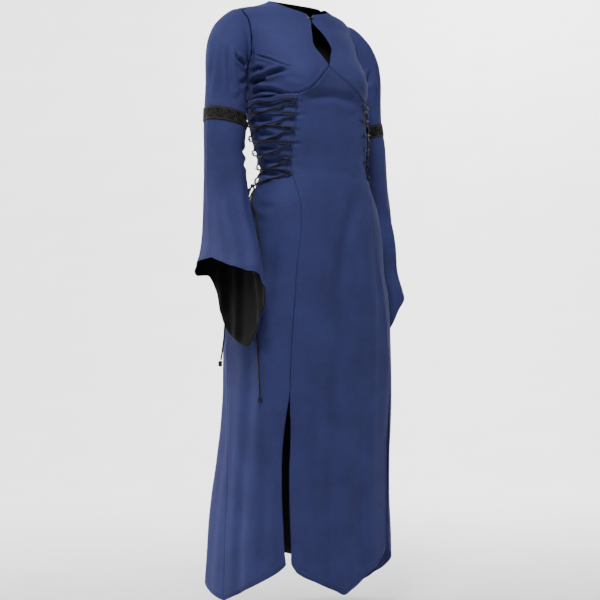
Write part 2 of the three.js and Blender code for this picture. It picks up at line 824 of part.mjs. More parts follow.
// A cord's first two points, straight out of the knot, in a direction given round, down and
// out of the body.
function knotExit(side, aside, down, out) {
  const angle = SIDES[side] * mix(princess(KNOT.z).angle, sideSeam(KNOT.z).angle, KNOT.share);
  const normal = bodyNormal(angle, KNOT.z).setZ(0).normalize();
  const back = bodyPoint(angle + SIDES[side], KNOT.z).sub(bodyPoint(angle, KNOT.z)).normalize();
  const run = back.multiplyScalar(aside).addScaledVector(normal, out).setZ(-down).normalize();
  const across = Math.hypot(run.x, run.y) / (KNOT.wide / 2);
  const reach = 1 / Math.hypot(across, run.z / (KNOT.high / 2)) + SEAM_GAP;
  const centre = overSide(side, KNOT.share, KNOT.z, KNOT.lift);
  return [reach, reach + LACE].map((distance) => centre.clone().addScaledVector(run, distance));
}

// The bow's two loops hang from the knot: aside is measured round the body.
const BOW = table(
  ['aside', 'down', 'lift'],
  [
    [-12, 22, 10.5],
    [-16, 42, 9.5],
    [-12, 60, 8.5],
    [-5.5, 54, 8.5],
    [-3.6, 32, 10.5],
    [-2.8, 15, 14],
    [1.6, 10.6, 15],
    [6, 16, 14],
    [7, 34, 10.5],
    [10, 50, 9.5],
    [15, 54, 8.5],
    [19, 42, 9.5],
    [15, 23, 10.5],
  ],
);
const DEGREES_PER_MM = 0.45;

function addBow(side) {
  const start = SIDES[side] * mix(princess(KNOT.z).angle, sideSeam(KNOT.z).angle, KNOT.share);
  const points = BOW.map(({ aside, down, lift }) => {
    const angle = start + SIDES[side] * aside * DEGREES_PER_MM;
    const z = KNOT.z - down;
    return bodyPoint(angle, z).addScaledVector(bodyNormal(angle, z), lift);
  });
  const end = knotExit(side, 0.65, 0.55, 0.52).reverse();
  const route = [...knotExit(side, -0.5, 0.7, 0.5), ...points, ...end];
  add(`bow_${side}`, cord(route, LACE, 6), BLACK, 0.85);
}

const TAILS = {
  right: {
    back: table(
      ['y', 'z', 'lift'],
      [
        [-27, -463, 4],
        [-20, -482, 3.4],
        [-11, -508, 3.3],
        [-3, -552, 3.2],
        [0, -610, 3.2],
        [0, -680, 3.2],
        [1, -735, 3.2],
        [2, -770, 4.5],
        [3, -800, 7],
        [3, -826, 11],
        [3, -848, 15],
      ],
    ),
    front: table(
      ['y', 'z', 'lift'],
      [
        [-37, -463, 5],
        [-43, -476, 4],
        [-55, -493, 3.4],
        [-74, -513, 3.4],
        [-88, -551, 3.4],
        [-99, -605, 3.4],
        [-109, -690, 3.4],
        [-113, -780, 3.6],
        [-117, -860, 4.5],
        [-121, -926, 6.2],
      ],
    ),
  },
  left: {
    back: table(
      ['y', 'z', 'lift'],
      [
        [-24, -463, 4.4],
        [-12, -477, 3.6],
        [14, -504, 3.4],
        [42, -544, 3.4],
        [68, -600, 3.4],
        [76, -680, 3.4],
        [79, -790, 4],
        [80, -880, 6.2],
      ],
    ),
    front: table(
      ['y', 'z', 'lift'],
      [
        [-34, -463, 5],
        [-29, -484, 3.8],
        [-2, -530, 3.4],
        [28, -582, 3.4],
        [48, -640, 3.4],
        [54, -700, 3.4],
        [56, -770, 4],
        [57, -830, 6.2],
      ],
    ),
  },
};
const TAIL_EXITS = { back: [0.6, 0.65, -0.46], front: [-0.25, 0.85, -0.34] };
const END_KNOT = { wide: 11, high: 17 };

function addTails(side) {
  for (const [name, rows] of Object.entries(TAILS[side])) {
    const points = rows.map(({ y, z, lift }) => overAtY(side, y, z, lift));
    points.unshift(...knotExit(side, ...TAIL_EXITS[name]));
    add(`tail_${side}_${name}`, cord(points, LACE, 6, 2), BLACK, 0.85);
    const end = points.at(-1).clone();
    const run = end.clone().sub(points.at(-2)).normalize();
    end.addScaledVector(run, END_KNOT.high / 2 + SEAM_GAP);
    addBead(`end_knot_${side}_${name}`, end, END_KNOT);
  }
}

// The hook lies on the right front edge and turns back over the left front's thread eye.
const HOOK_Z = -40;
const HOOK_WIRE = 1;
const HOOK = table(
  ['x', 'lift'],
  [
    [-9, 1],
    [-2, 1],
    [3.2, 1],
    [4.9, 2.6],
    [3.2, 4.2],
    [-0.5, 4.2],
  ],
);
const EYE = table(
  ['x', 'up', 'lift'],
  [
    [9, 3.2, 0.9],
    [5, 3.4, 1.3],
    [2.6, 2, 2.6],
    [2, 0, 2.6],
    [2.6, -2, 2.6],
    [5, -3.4, 1.3],
    [9, -3.2, 0.9],
  ],
);

function overFront(x, z, lift) {
  const angle = frontAngleAtX(x, z);
  return bodyPoint(angle, z).addScaledVector(bodyNormal(angle, z), lift);
}

function addHookAndEye() {
  const hook = HOOK.map(({ x, lift }) => overFront(x, HOOK_Z, lift));
  add('neck_hook', cord(hook, HOOK_WIRE, 6), STEEL, 0.35, 1);
  const eye = EYE.map(({ x, up, lift }) => overFront(x, HOOK_Z + up, lift));
  add('neck_eye', cord(eye, HOOK_WIRE, 6), NAVY, 0.9);
}

addFrontPanel();
for (const side of Object.keys(SIDES)) {
  addBodiceFront(side);
  addSidePanel(side);
}
addBack();
for (const side of Object.keys(SIDES)) {
  addSleeveUpper(side);
  addSleeveBand(side);
  addSleeveLower(side);
  addCuffLining(side);
  addLaceLoops(side);
  addLace(side, 'under', true, LACE_LIFT.low);
  addLace(side, 'over', false, LACE_LIFT.high);
  addBead(`lace_knot_${side}`, overSide(side, KNOT.share, KNOT.z, KNOT.lift), KNOT);
  addBow(side);
  addTails(side);
}
addHookAndEye();

export default dress;
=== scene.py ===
"""A worn laced dress: its cloth, sewing, lacing and the light of the studio."""

import logging
from collections.abc import Callable, Sequence
from dataclasses import dataclass, field
from enum import Enum
from math import cos, pi, radians, sin

import bpy
import numpy as np
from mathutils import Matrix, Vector


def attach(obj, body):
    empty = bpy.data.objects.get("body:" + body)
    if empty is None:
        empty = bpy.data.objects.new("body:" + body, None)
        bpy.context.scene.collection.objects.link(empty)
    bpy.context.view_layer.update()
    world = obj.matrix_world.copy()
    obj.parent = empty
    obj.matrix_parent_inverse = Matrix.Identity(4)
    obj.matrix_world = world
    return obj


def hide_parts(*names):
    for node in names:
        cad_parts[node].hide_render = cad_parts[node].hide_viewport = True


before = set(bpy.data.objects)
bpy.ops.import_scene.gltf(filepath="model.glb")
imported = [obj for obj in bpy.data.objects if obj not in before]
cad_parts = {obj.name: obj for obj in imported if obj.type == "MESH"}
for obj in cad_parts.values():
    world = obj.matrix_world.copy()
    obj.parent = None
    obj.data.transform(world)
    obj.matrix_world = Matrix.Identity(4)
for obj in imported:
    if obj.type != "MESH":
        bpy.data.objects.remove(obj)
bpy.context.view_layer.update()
LOG = logging.getLogger("dress")

Array = np.ndarray
Edge = Callable[[Array], Array]

# Tables and sizes are in millimetres and degrees, in the frame of the solids: the origin is
# midway between the neck points, the front faces -Y and the wearer's right is -X.
MM = 0.001
SEAM_GAP = 0.3
CLOTH = 2.0
SHELL = 1.1
LINING = 0.6

NECK_POINT_Z = -1.5
BACK_NECK_Z = 12.0
BACK_NECK_POWER = 0.6
SHOULDER_TIP_Z = -24.5
FRONT_NECK_Z = -33.0
KEYHOLE_TIP_Z = -163.0
SLIT_TOP = -914.0
LACED_TOP_Z = -245.0
LACED_BOTTOM_Z = -470.0
BUST_SEAM_X, BUST_SEAM_Z = 95.0, -238.0
HOLE_TOP_Y, HOLE_BOTTOM_Y, HOLE_Z, HOLE_HEIGHT = 22.0, 5.0, -98.5, 74.0
HOLE_FRONT, HOLE_BACK = 44.0, 38.0
UNDERARM_Z = HOLE_Z - HOLE_HEIGHT
BUST_X, BUST_Z, BUST_DEPTH, BUST_SIZE = 86.0, -192.0, 19.0, 50.0

LACE = 4.0
LOOP_CORD = 1.8
LACE_PAIRS = 6
LACE_PITCH = 33.0
FRONT_LOOP_Z = -256.0
BACK_LOOP_Z = -268.0

# z, half the width, the middle's y, reach of front and back, and how square each is.
SECTIONS = (
    (14, 64, 8, 38, 34, 2, 2),
    (-2, 82, 8, 47, 42, 2, 2),
    (-12, 107, 15, 58, 51, 2, 2),
    (-25, 154, 22, 70, 57, 2.1, 2.1),
    (-45, 167, 22, 80, 68, 2.2, 2.2),
    (-89, 161, 6, 94, 98, 2.3, 2.3),
    (-130, 155, -8, 102, 112, 2.5, 2.4),
    (-172, 152, -18, 112, 122, 2.7, 2.4),
    (-210, 151, -24, 116, 122, 2.8, 2.4),
    (-250, 148, -30, 113, 114, 2.7, 2.3),
    (-320, 148, -43, 105, 98, 2.6, 2.2),
    (-380, 139, -57, 93, 91, 2.5, 2.2),
    (-405, 134, -62, 91, 90, 2.5, 2.2),
    (-440, 143, -64, 98, 97, 2.5, 2.2),
    (-500, 166, -62, 110, 118, 2.5, 2.2),
    (-583, 178, -57, 127, 139, 2.5, 2.3),
    (-640, 182, -53, 136, 147, 2.5, 2.3),
    (-700, 197, -50, 144, 149, 2.5, 2.4),
    (-780, 205, -48, 148, 153, 2.5, 2.5),
    (-900, 201, -48, 150, 158, 2.7, 2.6),
    (-1000, 198, -42, 150, 162, 2.9, 2.8),
    (-1080, 195, -28, 160, 168, 3, 2.9),
    (-1180, 197, -15, 170, 178, 3.2, 3),
    (-1260, 202, -14, 171, 184, 3.3, 3),
    (-1410, 205, -9, 175, 197, 3.3, 3),
)
# z, x and half the slit's opening along the seam between front panel and laced side.
PRINCESS = (
    (-238, 95, 0),
    (-300, 100, 0),
    (-360, 107, 0),
    (-420, 110, 0),
    (-497, 104, 0),
    (-600, 117, 0),
    (-678, 128, 0),
    (-800, 140, 0),
    (-918, 146, 0),
    (-970, 148, 4),
    (-1050, 149, 7),
    (-1260, 147, 7),
    (-1320, 144, 4),
)
SIDE_SEAM = (
    (-172, 5), (-245, 0), (-330, -8), (-400, -14), (-480, -10), (-600, 0), (-1410, 6),
)
UNDER_BUST = (
    (0, -163), (10, -174), (24, -187), (40, -202), (58, -217), (76, -229), (95, -238),
)
KEYHOLE = (
    (-33, 8), (-40, 4.5), (-47, 1.5), (-52, 2.5), (-73, 13), (-92, 20.5), (-112, 25.5),
    (-118, 25), (-136, 15), (-163, 0.4),
)
FRONT_HEM = (
    (-141, -1302), (-127, -1324), (-78, -1350), (-24, -1375), (0, -1386), (24, -1375),
    (66, -1347), (105, -1325), (129, -1304), (141, -1286),
)
RIGHT_CORNER_Z, LEFT_CORNER_Z, CORNER_X = -1302.0, -1286.0, 141.0
SIDE_HEM_TIP = -1404.0
SIDE_HEM_BOW = 0.7
BACK_HEM_MIDDLE = -1335.0
BACK_HEM_POWER = 1.8

# z, x outward from the body, y, and half the sleeve's width across and front to back.
RIGHT_ARM = (
    (-200, 205, 1, 46.5, 46.5),
    (-320, 207, 0, 49.5, 50),
    (-370, 210, -1, 46.5, 47),
    (-435, 209, -6, 48, 54),
    (-511, 219, -26, 45, 70),
    (-571, 229, -48, 44.5, 90),
    (-610, 238, -62, 47, 102),
    (-643, 248, -74, 52, 114),
    (-703, 254, -92, 50, 118),
    (-820, 264, -100, 50, 124),
)
LEFT_ARM = (
    (-200, 205, 1, 46.5, 46.5),
    (-260, 206, 0, 46.5, 46.5),
    (-330, 215, -2, 49, 49),
    (-435, 221, -4, 47, 53),
    (-511, 224, -2, 46, 68),
    (-571, 227, 4, 46, 86),
    (-643, 234, 18, 50, 102),
    (-703, 240, 12, 50, 112),
    (-820, 250, 12, 50, 118),
)
# Inner x and z, outer x and z, y and half the depth of each leaning ring of a sleeve's cap.
CAP = (
    (153.5, -177, 178, -32, 13, 43),
    (154.5, -181, 202, -48, 10, 47),
    (155.5, -186, 226, -72, 8, 49),
    (156.5, -194, 243, -108, 5, 49),
    (157.5, -206, 251, -154, 2, 48),
)
UPPER_ARM_RING = (-207, -240)
BAND_TOP = (-266, -287)
BAND_MIDDLE = (-281, -302)
BAND_BOTTOM = (-296, -317)
RIGHT_CUFF = (
    (0, -615), (50, -640), (100, -660), (120, -698), (150, -752), (180, -817), (205, -797),
    (226, -745), (234, -698), (252, -654), (280, -655), (318, -622), (360, -615),
)
LEFT_CUFF = (
    (0, -640), (40, -665), (60, -690), (80, -716), (100, -740), (125, -785), (150, -815),
    (180, -800), (220, -735), (260, -672), (300, -640), (360, -640),
)


class Side(Enum):
    """A side of the wearer, with the sign of its x."""

    RIGHT = -1
    LEFT = 1

    @property
    def label(self) -> str:
        """The side's name in lower case."""
        return self.name.lower()


class Curve:
    """A smooth line through a table's rows, which keeps between neighbouring values."""

    def __init__(self, rows: Sequence[Sequence[float]], column: int) -> None:
        """Fits the line.

        Args:
            rows: The table, with the key first in each row.
            column: The column of the values.
        """
        table = np.array(sorted((row[0], row[column]) for row in rows), float)
        self.x, self.y = table[:, 0], table[:, 1]
        rise = np.diff(self.y) / np.diff(self.x)
        total = rise[:-1] + rise[1:]
        product = rise[:-1] * rise[1:]
        inner = np.where(product > 0, 2 * product / np.where(total == 0, 1, total), 0)
        self.slope = np.concatenate(([rise[0]], inner, [rise[-1]]))

    def __call__(self, at: Array) -> Array:
        """Returns the values at the given keys."""
        where = np.clip(at, self.x[0], self.x[-1])
        i = np.clip(np.searchsorted(self.x, where, side="right") - 1, 0, len(self.x) - 2)
        span = self.x[i + 1] - self.x[i]
        t = (where - self.x[i]) / span
        ease = t * t * (3 - 2 * t)
        start = t * (1 - t) ** 2 * span * self.slope[i]
        end = t * t * (t - 1) * span * self.slope[i + 1]
        return self.y[i] + (self.y[i + 1] - self.y[i]) * ease + start + end


def mix(a: Array, b: Array, t: Array) -> Array:
    """Returns the value a share t of the way from a to b."""
    return a + (b - a) * t


def unit(vectors: Array) -> Array:
    """Returns the vectors at length 1."""
    return vectors / np.maximum(np.linalg.norm(vectors, axis=-1, keepdims=True), 1e-9)


class DressForm:
    """The worn dress's outer face, by the angle round it and the height."""

    def __init__(self) -> None:
        """Fits the lines through the level sections and the seams."""
        columns = [Curve(SECTIONS, column) for column in range(1, 7)]
        self.half, self.middle, self.front, self.back, self.front_power, self.back_power = columns
        self.princess_x = Curve(PRINCESS, 1)
        self.opening = Curve(PRINCESS, 2)
        self.side_y = Curve(SIDE_SEAM, 1)
        self.under_bust_z = Curve(UNDER_BUST, 1)
        self.keyhole_x = Curve(KEYHOLE, 1)
        self.hem_z = Curve(FRONT_HEM, 1)

    def section(self, is_front: Array, z: Array) -> tuple[Array, Array]:
        """Returns how square the front or the back is, and its reach."""
        power = np.where(is_front, self.front_power(z), self.back_power(z))
        return power, np.where(is_front, self.front(z), self.back(z))

    def point(self, angle: Array, z: Array) -> Array:
        """Returns points of the outer face.

        Args:
            angle: Degrees round the body, 0 at centre front and 180 at centre back.
            z: Height.
        """
        angle, z = np.broadcast_arrays(np.asarray(angle, float), np.asarray(z, float))
        sine, cosine = np.sin(np.radians(angle)), np.cos(np.radians(angle))
        power, reach = self.section(cosine >= 0, z)
        radius = (np.abs(sine) ** power + np.abs(cosine) ** power) ** (-1 / power)
        x = self.half(z) * radius * sine
        over = ((np.abs(x) - BUST_X) / BUST_SIZE) ** 2 + ((z - BUST_Z) / BUST_SIZE) ** 2
        t = np.clip(cosine / 0.45, 0, 1)
        bust = BUST_DEPTH * np.exp(-over) * t * t * (3 - 2 * t)
        return np.stack([x, self.middle(z) - reach * radius * cosine - bust, z], axis=-1)

    def at(self, places: Array) -> Array:
        """Returns points of the outer face at places, each an angle and a height."""
        return self.point(places[..., 0], places[..., 1])

    def normal(self, angle: Array, z: Array) -> Array:
        """Returns the outward directions at places of the face."""
        around = self.point(angle + 0.2, z) - self.point(angle - 0.2, z)
        up = self.point(angle, z + 0.5) - self.point(angle, z - 0.5)
        return unit(np.cross(around, up))

    def over(self, angle: Array, z: Array, lift: Array) -> Array:
        """Returns points at a height over the face."""
        return self.point(angle, z) + self.normal(angle, z) * np.asarray(lift, float)[..., None]

    def front_angle(self, x: Array, z: Array) -> Array:
        """Returns the angle of the place at x on the front half."""
        power = self.front_power(z)
        across = np.minimum(np.abs(x) / self.half(z), 1)
        return np.degrees(np.arctan2(np.sign(x) * across, (1 - across**power) ** (1 / power)))

    def front_place(self, x: Array, z: Array) -> Array:
        """Returns places at x on the front half."""
        return np.stack([self.front_angle(x, z), z], axis=-1)

    def side_angle(self, y: Array, z: Array) -> Array:
        """Returns the angle of the place at y on the left side."""
        offset = y - self.middle(z)
        is_front = offset < 0
        power, reach = self.section(is_front, z)
        forward = np.minimum(np.abs(offset) / reach, 1)
        across = (1 - forward**power) ** (1 / power)
        return np.degrees(np.arctan2(across, np.where(is_front, forward, -forward)))

    def inset(self, angle: Array, z: Array, sign: float) -> Array:
        """Returns places half a seam's gap from a seam, towards the side given by sign."""
        run = self.point(angle + 0.5, z) - self.point(angle - 0.5, z)
        moved = angle + sign * SEAM_GAP / 2 / np.linalg.norm(run, axis=-1)
        return np.stack([moved, z + 0 * moved], axis=-1)

    def princess(self, z: Array, sign: float = 0) -> Array:
        """Returns places along the seam between front panel and laced side."""
        x = self.princess_x(z) + sign * self.opening(z)
        return self.inset(self.front_angle(x, z), z, sign)

    def side_seam(self, z: Array, sign: float = 0) -> Array:
        """Returns places along the side seam."""
        return self.inset(self.side_angle(self.side_y(z), z), z, sign)

    def shoulder(self, z: Array, sign: float = 0) -> Array:
        """Returns places along the shoulder seam."""
        return self.inset(np.full_like(z, 90.0), z, sign)

    def armhole(self, around: Array) -> Array:
        """Returns places of the armhole, from the shoulder tip round the front."""
        across, up = np.sin(np.radians(around)), np.cos(np.radians(around))
        z = HOLE_Z + HOLE_HEIGHT * up
        reach = np.where(across > 0, HOLE_FRONT, HOLE_BACK)
        y = mix(HOLE_BOTTOM_Y, HOLE_TOP_Y, (1 + up) / 2) - reach * across
        return np.stack([self.side_angle(y, z), z], axis=-1)


FORM = DressForm()


def spaced(length: float, step: float, border: Sequence[float] = (0.9, 2.0, 3.6, 6.0)) -> Array:
    """Returns shares along an edge, closer together at its ends.

    Args:
        length: The edge's usual length.
        step: The distance between places away from the ends.
        border: Distances from each end of the close places.
    """
    count = max(int((length - 2 * border[-1]) / step), 2)
    inner = np.linspace(border[-1], length - border[-1], count + 1)
    ends = np.array(border[:-1])
    return np.concatenate(([0], ends, inner, length - ends[::-1], [length])) / length


def along(parts: Sequence[tuple[int, Edge]], t: Array) -> Array:
    """Returns places along an edge made of parts.

    Args:
        parts: Each part's number of rows and its places by the share along it.
        t: Shares along the whole edge.
    """
    where = t * sum(count for count, _ in parts)
    places = np.zeros((len(t), 2))
    start = 0.0
    for count, edge in parts:
        mask = where >= start - 1e-9
        places[mask] = edge(np.clip((where[mask] - start) / count, 0, 1))
        start += count
    return places


def levels(top: float, bottom: float) -> Edge:
    """Returns the heights of a long panel's rows, closer together beside the lacing."""

    def height(t: Array) -> Array:
        """Returns heights by the share down the panel."""
        laced = mix(top, LACED_BOTTOM_Z, np.clip(t * 2.1, 0, 1))
        skirt = np.clip((t * 21 - 10) / 11, 0, 1) ** 1.25
        return np.where(t * 21 <= 10, laced, mix(LACED_BOTTOM_Z, bottom, skirt))

    return height


def fill(top: Array, bottom: Array, first: Array, last: Array, s: Array, t: Array) -> Array:
    """Fills the field between four edges.

    Args:
        top: Places along the upper edge, and so on for the lower, first and last edges.
        bottom: The lower edge.
        first: The edge at the start of each row.
        last: The edge at the end of each row.
        s: Shares of the columns.
        t: Shares of the rows.
    """
    s, t = s[None, :, None], t[:, None, None]
    down = mix(top[None], bottom[None], t)
    across = mix(first[:, None], last[:, None], s)
    upper, lower = mix(top[0], top[-1], s), mix(bottom[0], bottom[-1], s)
    return down + across - mix(upper, lower, t)


def steps_of(points: Array) -> list[Array]:
    """Returns each step of a line as four points, with a mirrored one past each end."""
    chain = np.vstack([2 * points[0] - points[1], points, 2 * points[-1] - points[-2]])
    return [chain[i : i + 4] for i in range(len(points) - 1)]


def bend(start: Array, end: Array, leave: Array, arrive: Array, u: Array) -> Array:
    """Returns a smooth step at shares u, by its ends and its slopes there."""
    return (
        (2 * u**3 - 3 * u**2 + 1) * start + (u**3 - 2 * u**2 + u) * leave
        + (3 * u**2 - 2 * u**3) * end + (u**3 - u**2) * arrive
    )


def ways(points: Array, step: float) -> Array:
    """Returns a smooth line through chosen points, with its own points a step apart."""
    line = [points[:1]]
    for p0, p1, p2, p3 in steps_of(points):
        pairs = ((p0, p1), (p1, p2), (p2, p3))
        d0, d1, d2 = (max(np.linalg.norm(b - a) ** 0.5, 1e-4) for a, b in pairs)
        leave = ((p1 - p0) / d0 - (p2 - p0) / (d0 + d1) + (p2 - p1) / d1) * d1
        arrive = ((p2 - p1) / d1 - (p3 - p1) / (d1 + d2) + (p3 - p2) / d2) * d1
        u = np.linspace(0, 1, max(int(np.linalg.norm(p2 - p1) / step), 1) + 1)[1:, None]
        line.append(bend(p1, p2, leave, arrive, u))
    return np.vstack(line)


def fine_path(path: Sequence[tuple[float, float]], steps: int) -> tuple[Array, Array]:
    """Returns a path's two values, in even steps between its rows."""
    table, rows = np.array(path, float), np.arange(len(path))
    fine = np.linspace(0, len(path) - 1, steps * (len(path) - 1) + 1)
    return np.interp(fine, rows, table[:, 0]), np.interp(fine, rows, table[:, 1])


def arc(points: Array) -> Array:
    """Returns the distance along a line to each of its points."""
    return np.concatenate(([0], np.cumsum(np.linalg.norm(np.diff(points, axis=0), axis=-1))))


@dataclass(frozen=True)
class Fold:
    """A soft trough, or with a negative depth a ridge, along a line over the cloth."""

    path: tuple[tuple[float, float], ...]
    depth: float
    width: float
    lip: float = 0.35
    open_start: bool = False
    open_end: bool = False

    def sink(self, points: Array, line: Array) -> Array:
        """Returns how far each point sinks.

        Args:
            points: Points of the cloth.
            line: The fold's path as points.
        """
        total = arc(line)
        best = np.full(points.shape[:-1], 1e9)
        where = np.zeros(points.shape[:-1])
        for i in range(len(line) - 1):
            run = line[i + 1] - line[i]
            length = max(np.linalg.norm(run), 1e-6)
            share = np.clip(((points - line[i]) @ run) / length**2, 0, 1)
            gap = np.linalg.norm(points - line[i] - share[..., None] * run, axis=-1)
            near = gap < best
            best = np.where(near, gap, best)
            where = np.where(near, (total[i] + share * length) / total[-1], where)
        start = 1.0 if self.open_start else np.clip(where / 0.3, 0, 1)
        end = 1.0 if self.open_end else np.clip((1 - where) / 0.3, 0, 1)
        taper = np.sin(start * pi / 2) * np.sin(end * pi / 2)
        trough = np.exp(-((best / self.width) ** 2))
        lips = self.lip * np.exp(-(((best - 1.8 * self.width) / self.width) ** 2))
        return self.depth * taper * (trough - lips)


@dataclass(frozen=True)
class Waves:
    """Slight unevenness of worn cloth, as a sum of seeded long waves."""

    seed: int = 7
    depth: float = 0.8
    shortest: float = 45.0
    longest: float = 170.0
    count: int = 14

    def rise(self, points: Array) -> Array:
        """Returns how far each point of the cloth rises."""
        chance = np.random.default_rng(self.seed)
        total = np.zeros(points.shape[:-1])
        for _ in range(self.count):
            length = chance.uniform(self.shortest, self.longest)
            turn = unit(chance.normal(size=3) * np.array([1, 1, 0.45]))
            total += np.sin(points @ turn * 2 * pi / length + chance.uniform(0, 2 * pi)) * length
        return total * self.depth / self.longest / self.count**0.5


def linear(colour: str) -> tuple[float, float, float, float]:
    """Returns an sRGB hex colour as linear values."""
    parts = [int(colour[i : i + 2], 16) / 255 for i in (1, 3, 5)]
    r, g, b = (c / 12.92 if c <= 0.04045 else ((c + 0.055) / 1.055) ** 2.4 for c in parts)
    return (r, g, b, 1.0)


def add_node(
    tree: bpy.types.NodeTree,
    kind: str,
    settings: dict[str | int, object] | None = None,
    links: dict[str | int, bpy.types.NodeSocket] | None = None,
) -> bpy.types.Node:
    """Adds a node with its settings and links.

    Args:
        tree: The material's tree.
        kind: The node's type.
        settings: Values by the name of a socket or of the node's own property.
        links: Sources by the name or number of a socket.
    """
    node = tree.nodes.new(kind)
    for name, value in (settings or {}).items():
        if isinstance(name, int) or name in node.inputs:
            node.inputs[name].default_value = value
        else:
            setattr(node, name, value)
    for name, source in (links or {}).items():
        tree.links.new(source, node.inputs[name])
    return node


def blend_colours(
    tree: bpy.types.NodeTree, share: bpy.types.NodeSocket, low: str, high: str
) -> bpy.types.NodeSocket:
    """Returns a colour that runs from low to high with a share."""
    ramp = add_node(tree, "ShaderNodeValToRGB", {}, {"Fac": share})
    ramp.color_ramp.elements[0].position = 0.3
    ramp.color_ramp.elements[1].position = 0.7
    ramp.color_ramp.elements[0].color = linear(low)
    ramp.color_ramp.elements[1].color = linear(high)
    return ramp.outputs["Color"]


def start_material(
    name: str, values: dict[str, object]
) -> tuple[bpy.types.Material, bpy.types.NodeTree, bpy.types.Node]:
    """Starts a material with constant values on its shader's sockets.

    Args:
        name: The material's name.
        values: Values by the name of a socket.

    Returns:
        The material, its tree and its shader.
    """
    material = bpy.data.materials.new(name)
    material.use_nodes = True
    shader = material.node_tree.nodes["Principled BSDF"]
    for socket, value in values.items():
        shader.inputs[socket].default_value = value
    return material, material.node_tree, shader


# The wave texture repeats this many times in each unit of its scale.
WAVE_REPEATS = 3.1831


@dataclass(frozen=True)
class Cloth:
    """A woven cloth, with its diagonal or square weave on the mesh's own millimetre grid."""

    name: str
    slot: str
    low: str
    high: str
    pitch_mm: float
    slant: float
    relief_mm: float
    roughness: float
    sheen: float
    # The colour of the painted highlight on the weave's ridges.
    fade: str

    def build(self) -> bpy.types.Material:
        """Makes the material."""
        values = {
            "Roughness": self.roughness, "IOR": 1.45, "Specular IOR Level": 0.25,
            "Sheen Weight": self.sheen, "Sheen Roughness": 0.5, "Sheen Tint": linear(self.high),
        }
        material, tree, shader = start_material(self.name, values)
        grid = add_node(tree, "ShaderNodeUVMap", {"uv_map": "weave"}).outputs["UV"]
        place = add_node(tree, "ShaderNodeTexCoord").outputs["Object"]
        # Two sets of ridges: along the slant, and the faint cross threads between them.
        waves = []
        for angle, share in ((self.slant, 1.0), (self.slant + 90, 0.35)):
            turn = {"Rotation": (0, 0, radians(angle))}
            turned = add_node(tree, "ShaderNodeMapping", turn, {"Vector": grid}).outputs["Vector"]
            scale = 1 / (self.pitch_mm * MM) / WAVE_REPEATS / share
            settings = {"Scale": scale, "Distortion": 0.6, "Detail": 2.0}
            ridges = add_node(tree, "ShaderNodeTexWave", settings, {"Vector": turned})
            waves.append(ridges.outputs["Fac"])
        cross = add_node(tree, "ShaderNodeMath", {"operation": "MULTIPLY", 1: 0.3}, {0: waves[1]})
        added = {"operation": "MULTIPLY_ADD", 1: 0.7}
        links = {0: waves[0], 2: cross.outputs[0]}
        weave = add_node(tree, "ShaderNodeMath", added, links).outputs[0]
        # Dye takes a little unevenly over a hand's breadth; ridge tops get a painted highlight, yarn
        # by yarn.
        uneven = {"Scale": 11.0, "Detail": 5.0, "Roughness": 0.62}
        blotch = add_node(tree, "ShaderNodeTexNoise", uneven, {"Vector": place})
        dyed = blend_colours(tree, blotch.outputs["Fac"], self.low, self.high)
        slubs = {"Scale": 420.0, "Detail": 2.0}
        yarn = add_node(tree, "ShaderNodeTexNoise", slubs, {"Vector": place})
        sources = {0: yarn.outputs["Fac"], 1: weave}
        share = add_node(tree, "ShaderNodeMath", {"operation": "MULTIPLY"}, sources).outputs[0]
        # Painted highlight: the lighter colour is mixed in where the weave rises.
        fade = {"data_type": "RGBA", 7: linear(self.fade)}
        highlighted = add_node(tree, "ShaderNodeMix", fade, {0: share, 6: dyed})
        tree.links.new(highlighted.outputs[2], shader.inputs["Base Color"])
        relief = {"Strength": 0.6, "Distance": self.relief_mm * MM}
        bump = add_node(tree, "ShaderNodeBump", relief, {"Height": weave})
        tree.links.new(bump.outputs["Normal"], shader.inputs["Normal"])
        return material


@dataclass(frozen=True)
class Yarn:
    """A braided or twisted yarn, with its strands on the tube's own millimetre grid."""

    name: str
    slot: str
    low: str
    high: str
    strand_mm: float
    slant: float
    is_braid: bool
    relief_mm: float
    roughness: float

    def build(self) -> bpy.types.Material:
        """Makes the material."""
        values = {"Roughness": self.roughness, "IOR": 1.5, "Sheen Weight": 0.04}
        material, tree, shader = start_material(self.name, values)
        grid = add_node(tree, "ShaderNodeUVMap", {"uv_map": "weave"}).outputs["UV"]
        heights = []
        for angle in (self.slant, -self.slant) if self.is_braid else (self.slant,):
            turn = {"Rotation": (0, 0, radians(angle))}
            turned = add_node(tree, "ShaderNodeMapping", turn, {"Vector": grid}).outputs["Vector"]
            settings = {"Scale": 1 / (self.strand_mm * MM) / WAVE_REPEATS, "Distortion": 0.3}
            strands = add_node(tree, "ShaderNodeTexWave", settings, {"Vector": turned})
            heights.append(strands.outputs["Fac"])
        height = heights[0]
        if self.is_braid:
            sources = {0: heights[0], 1: heights[1]}
            height = add_node(tree, "ShaderNodeMath", {"operation": "MAXIMUM"}, sources).outputs[0]
        # Painted shade and highlight: grooves between strands darker, strand tops lighter.
        colour = blend_colours(tree, height, self.low, self.high)
        tree.links.new(colour, shader.inputs["Base Color"])
        relief = {"Strength": 0.8, "Distance": self.relief_mm * MM}
        bump = add_node(tree, "ShaderNodeBump", relief, {"Height": height})
        tree.links.new(bump.outputs["Normal"], shader.inputs["Normal"])
        return material


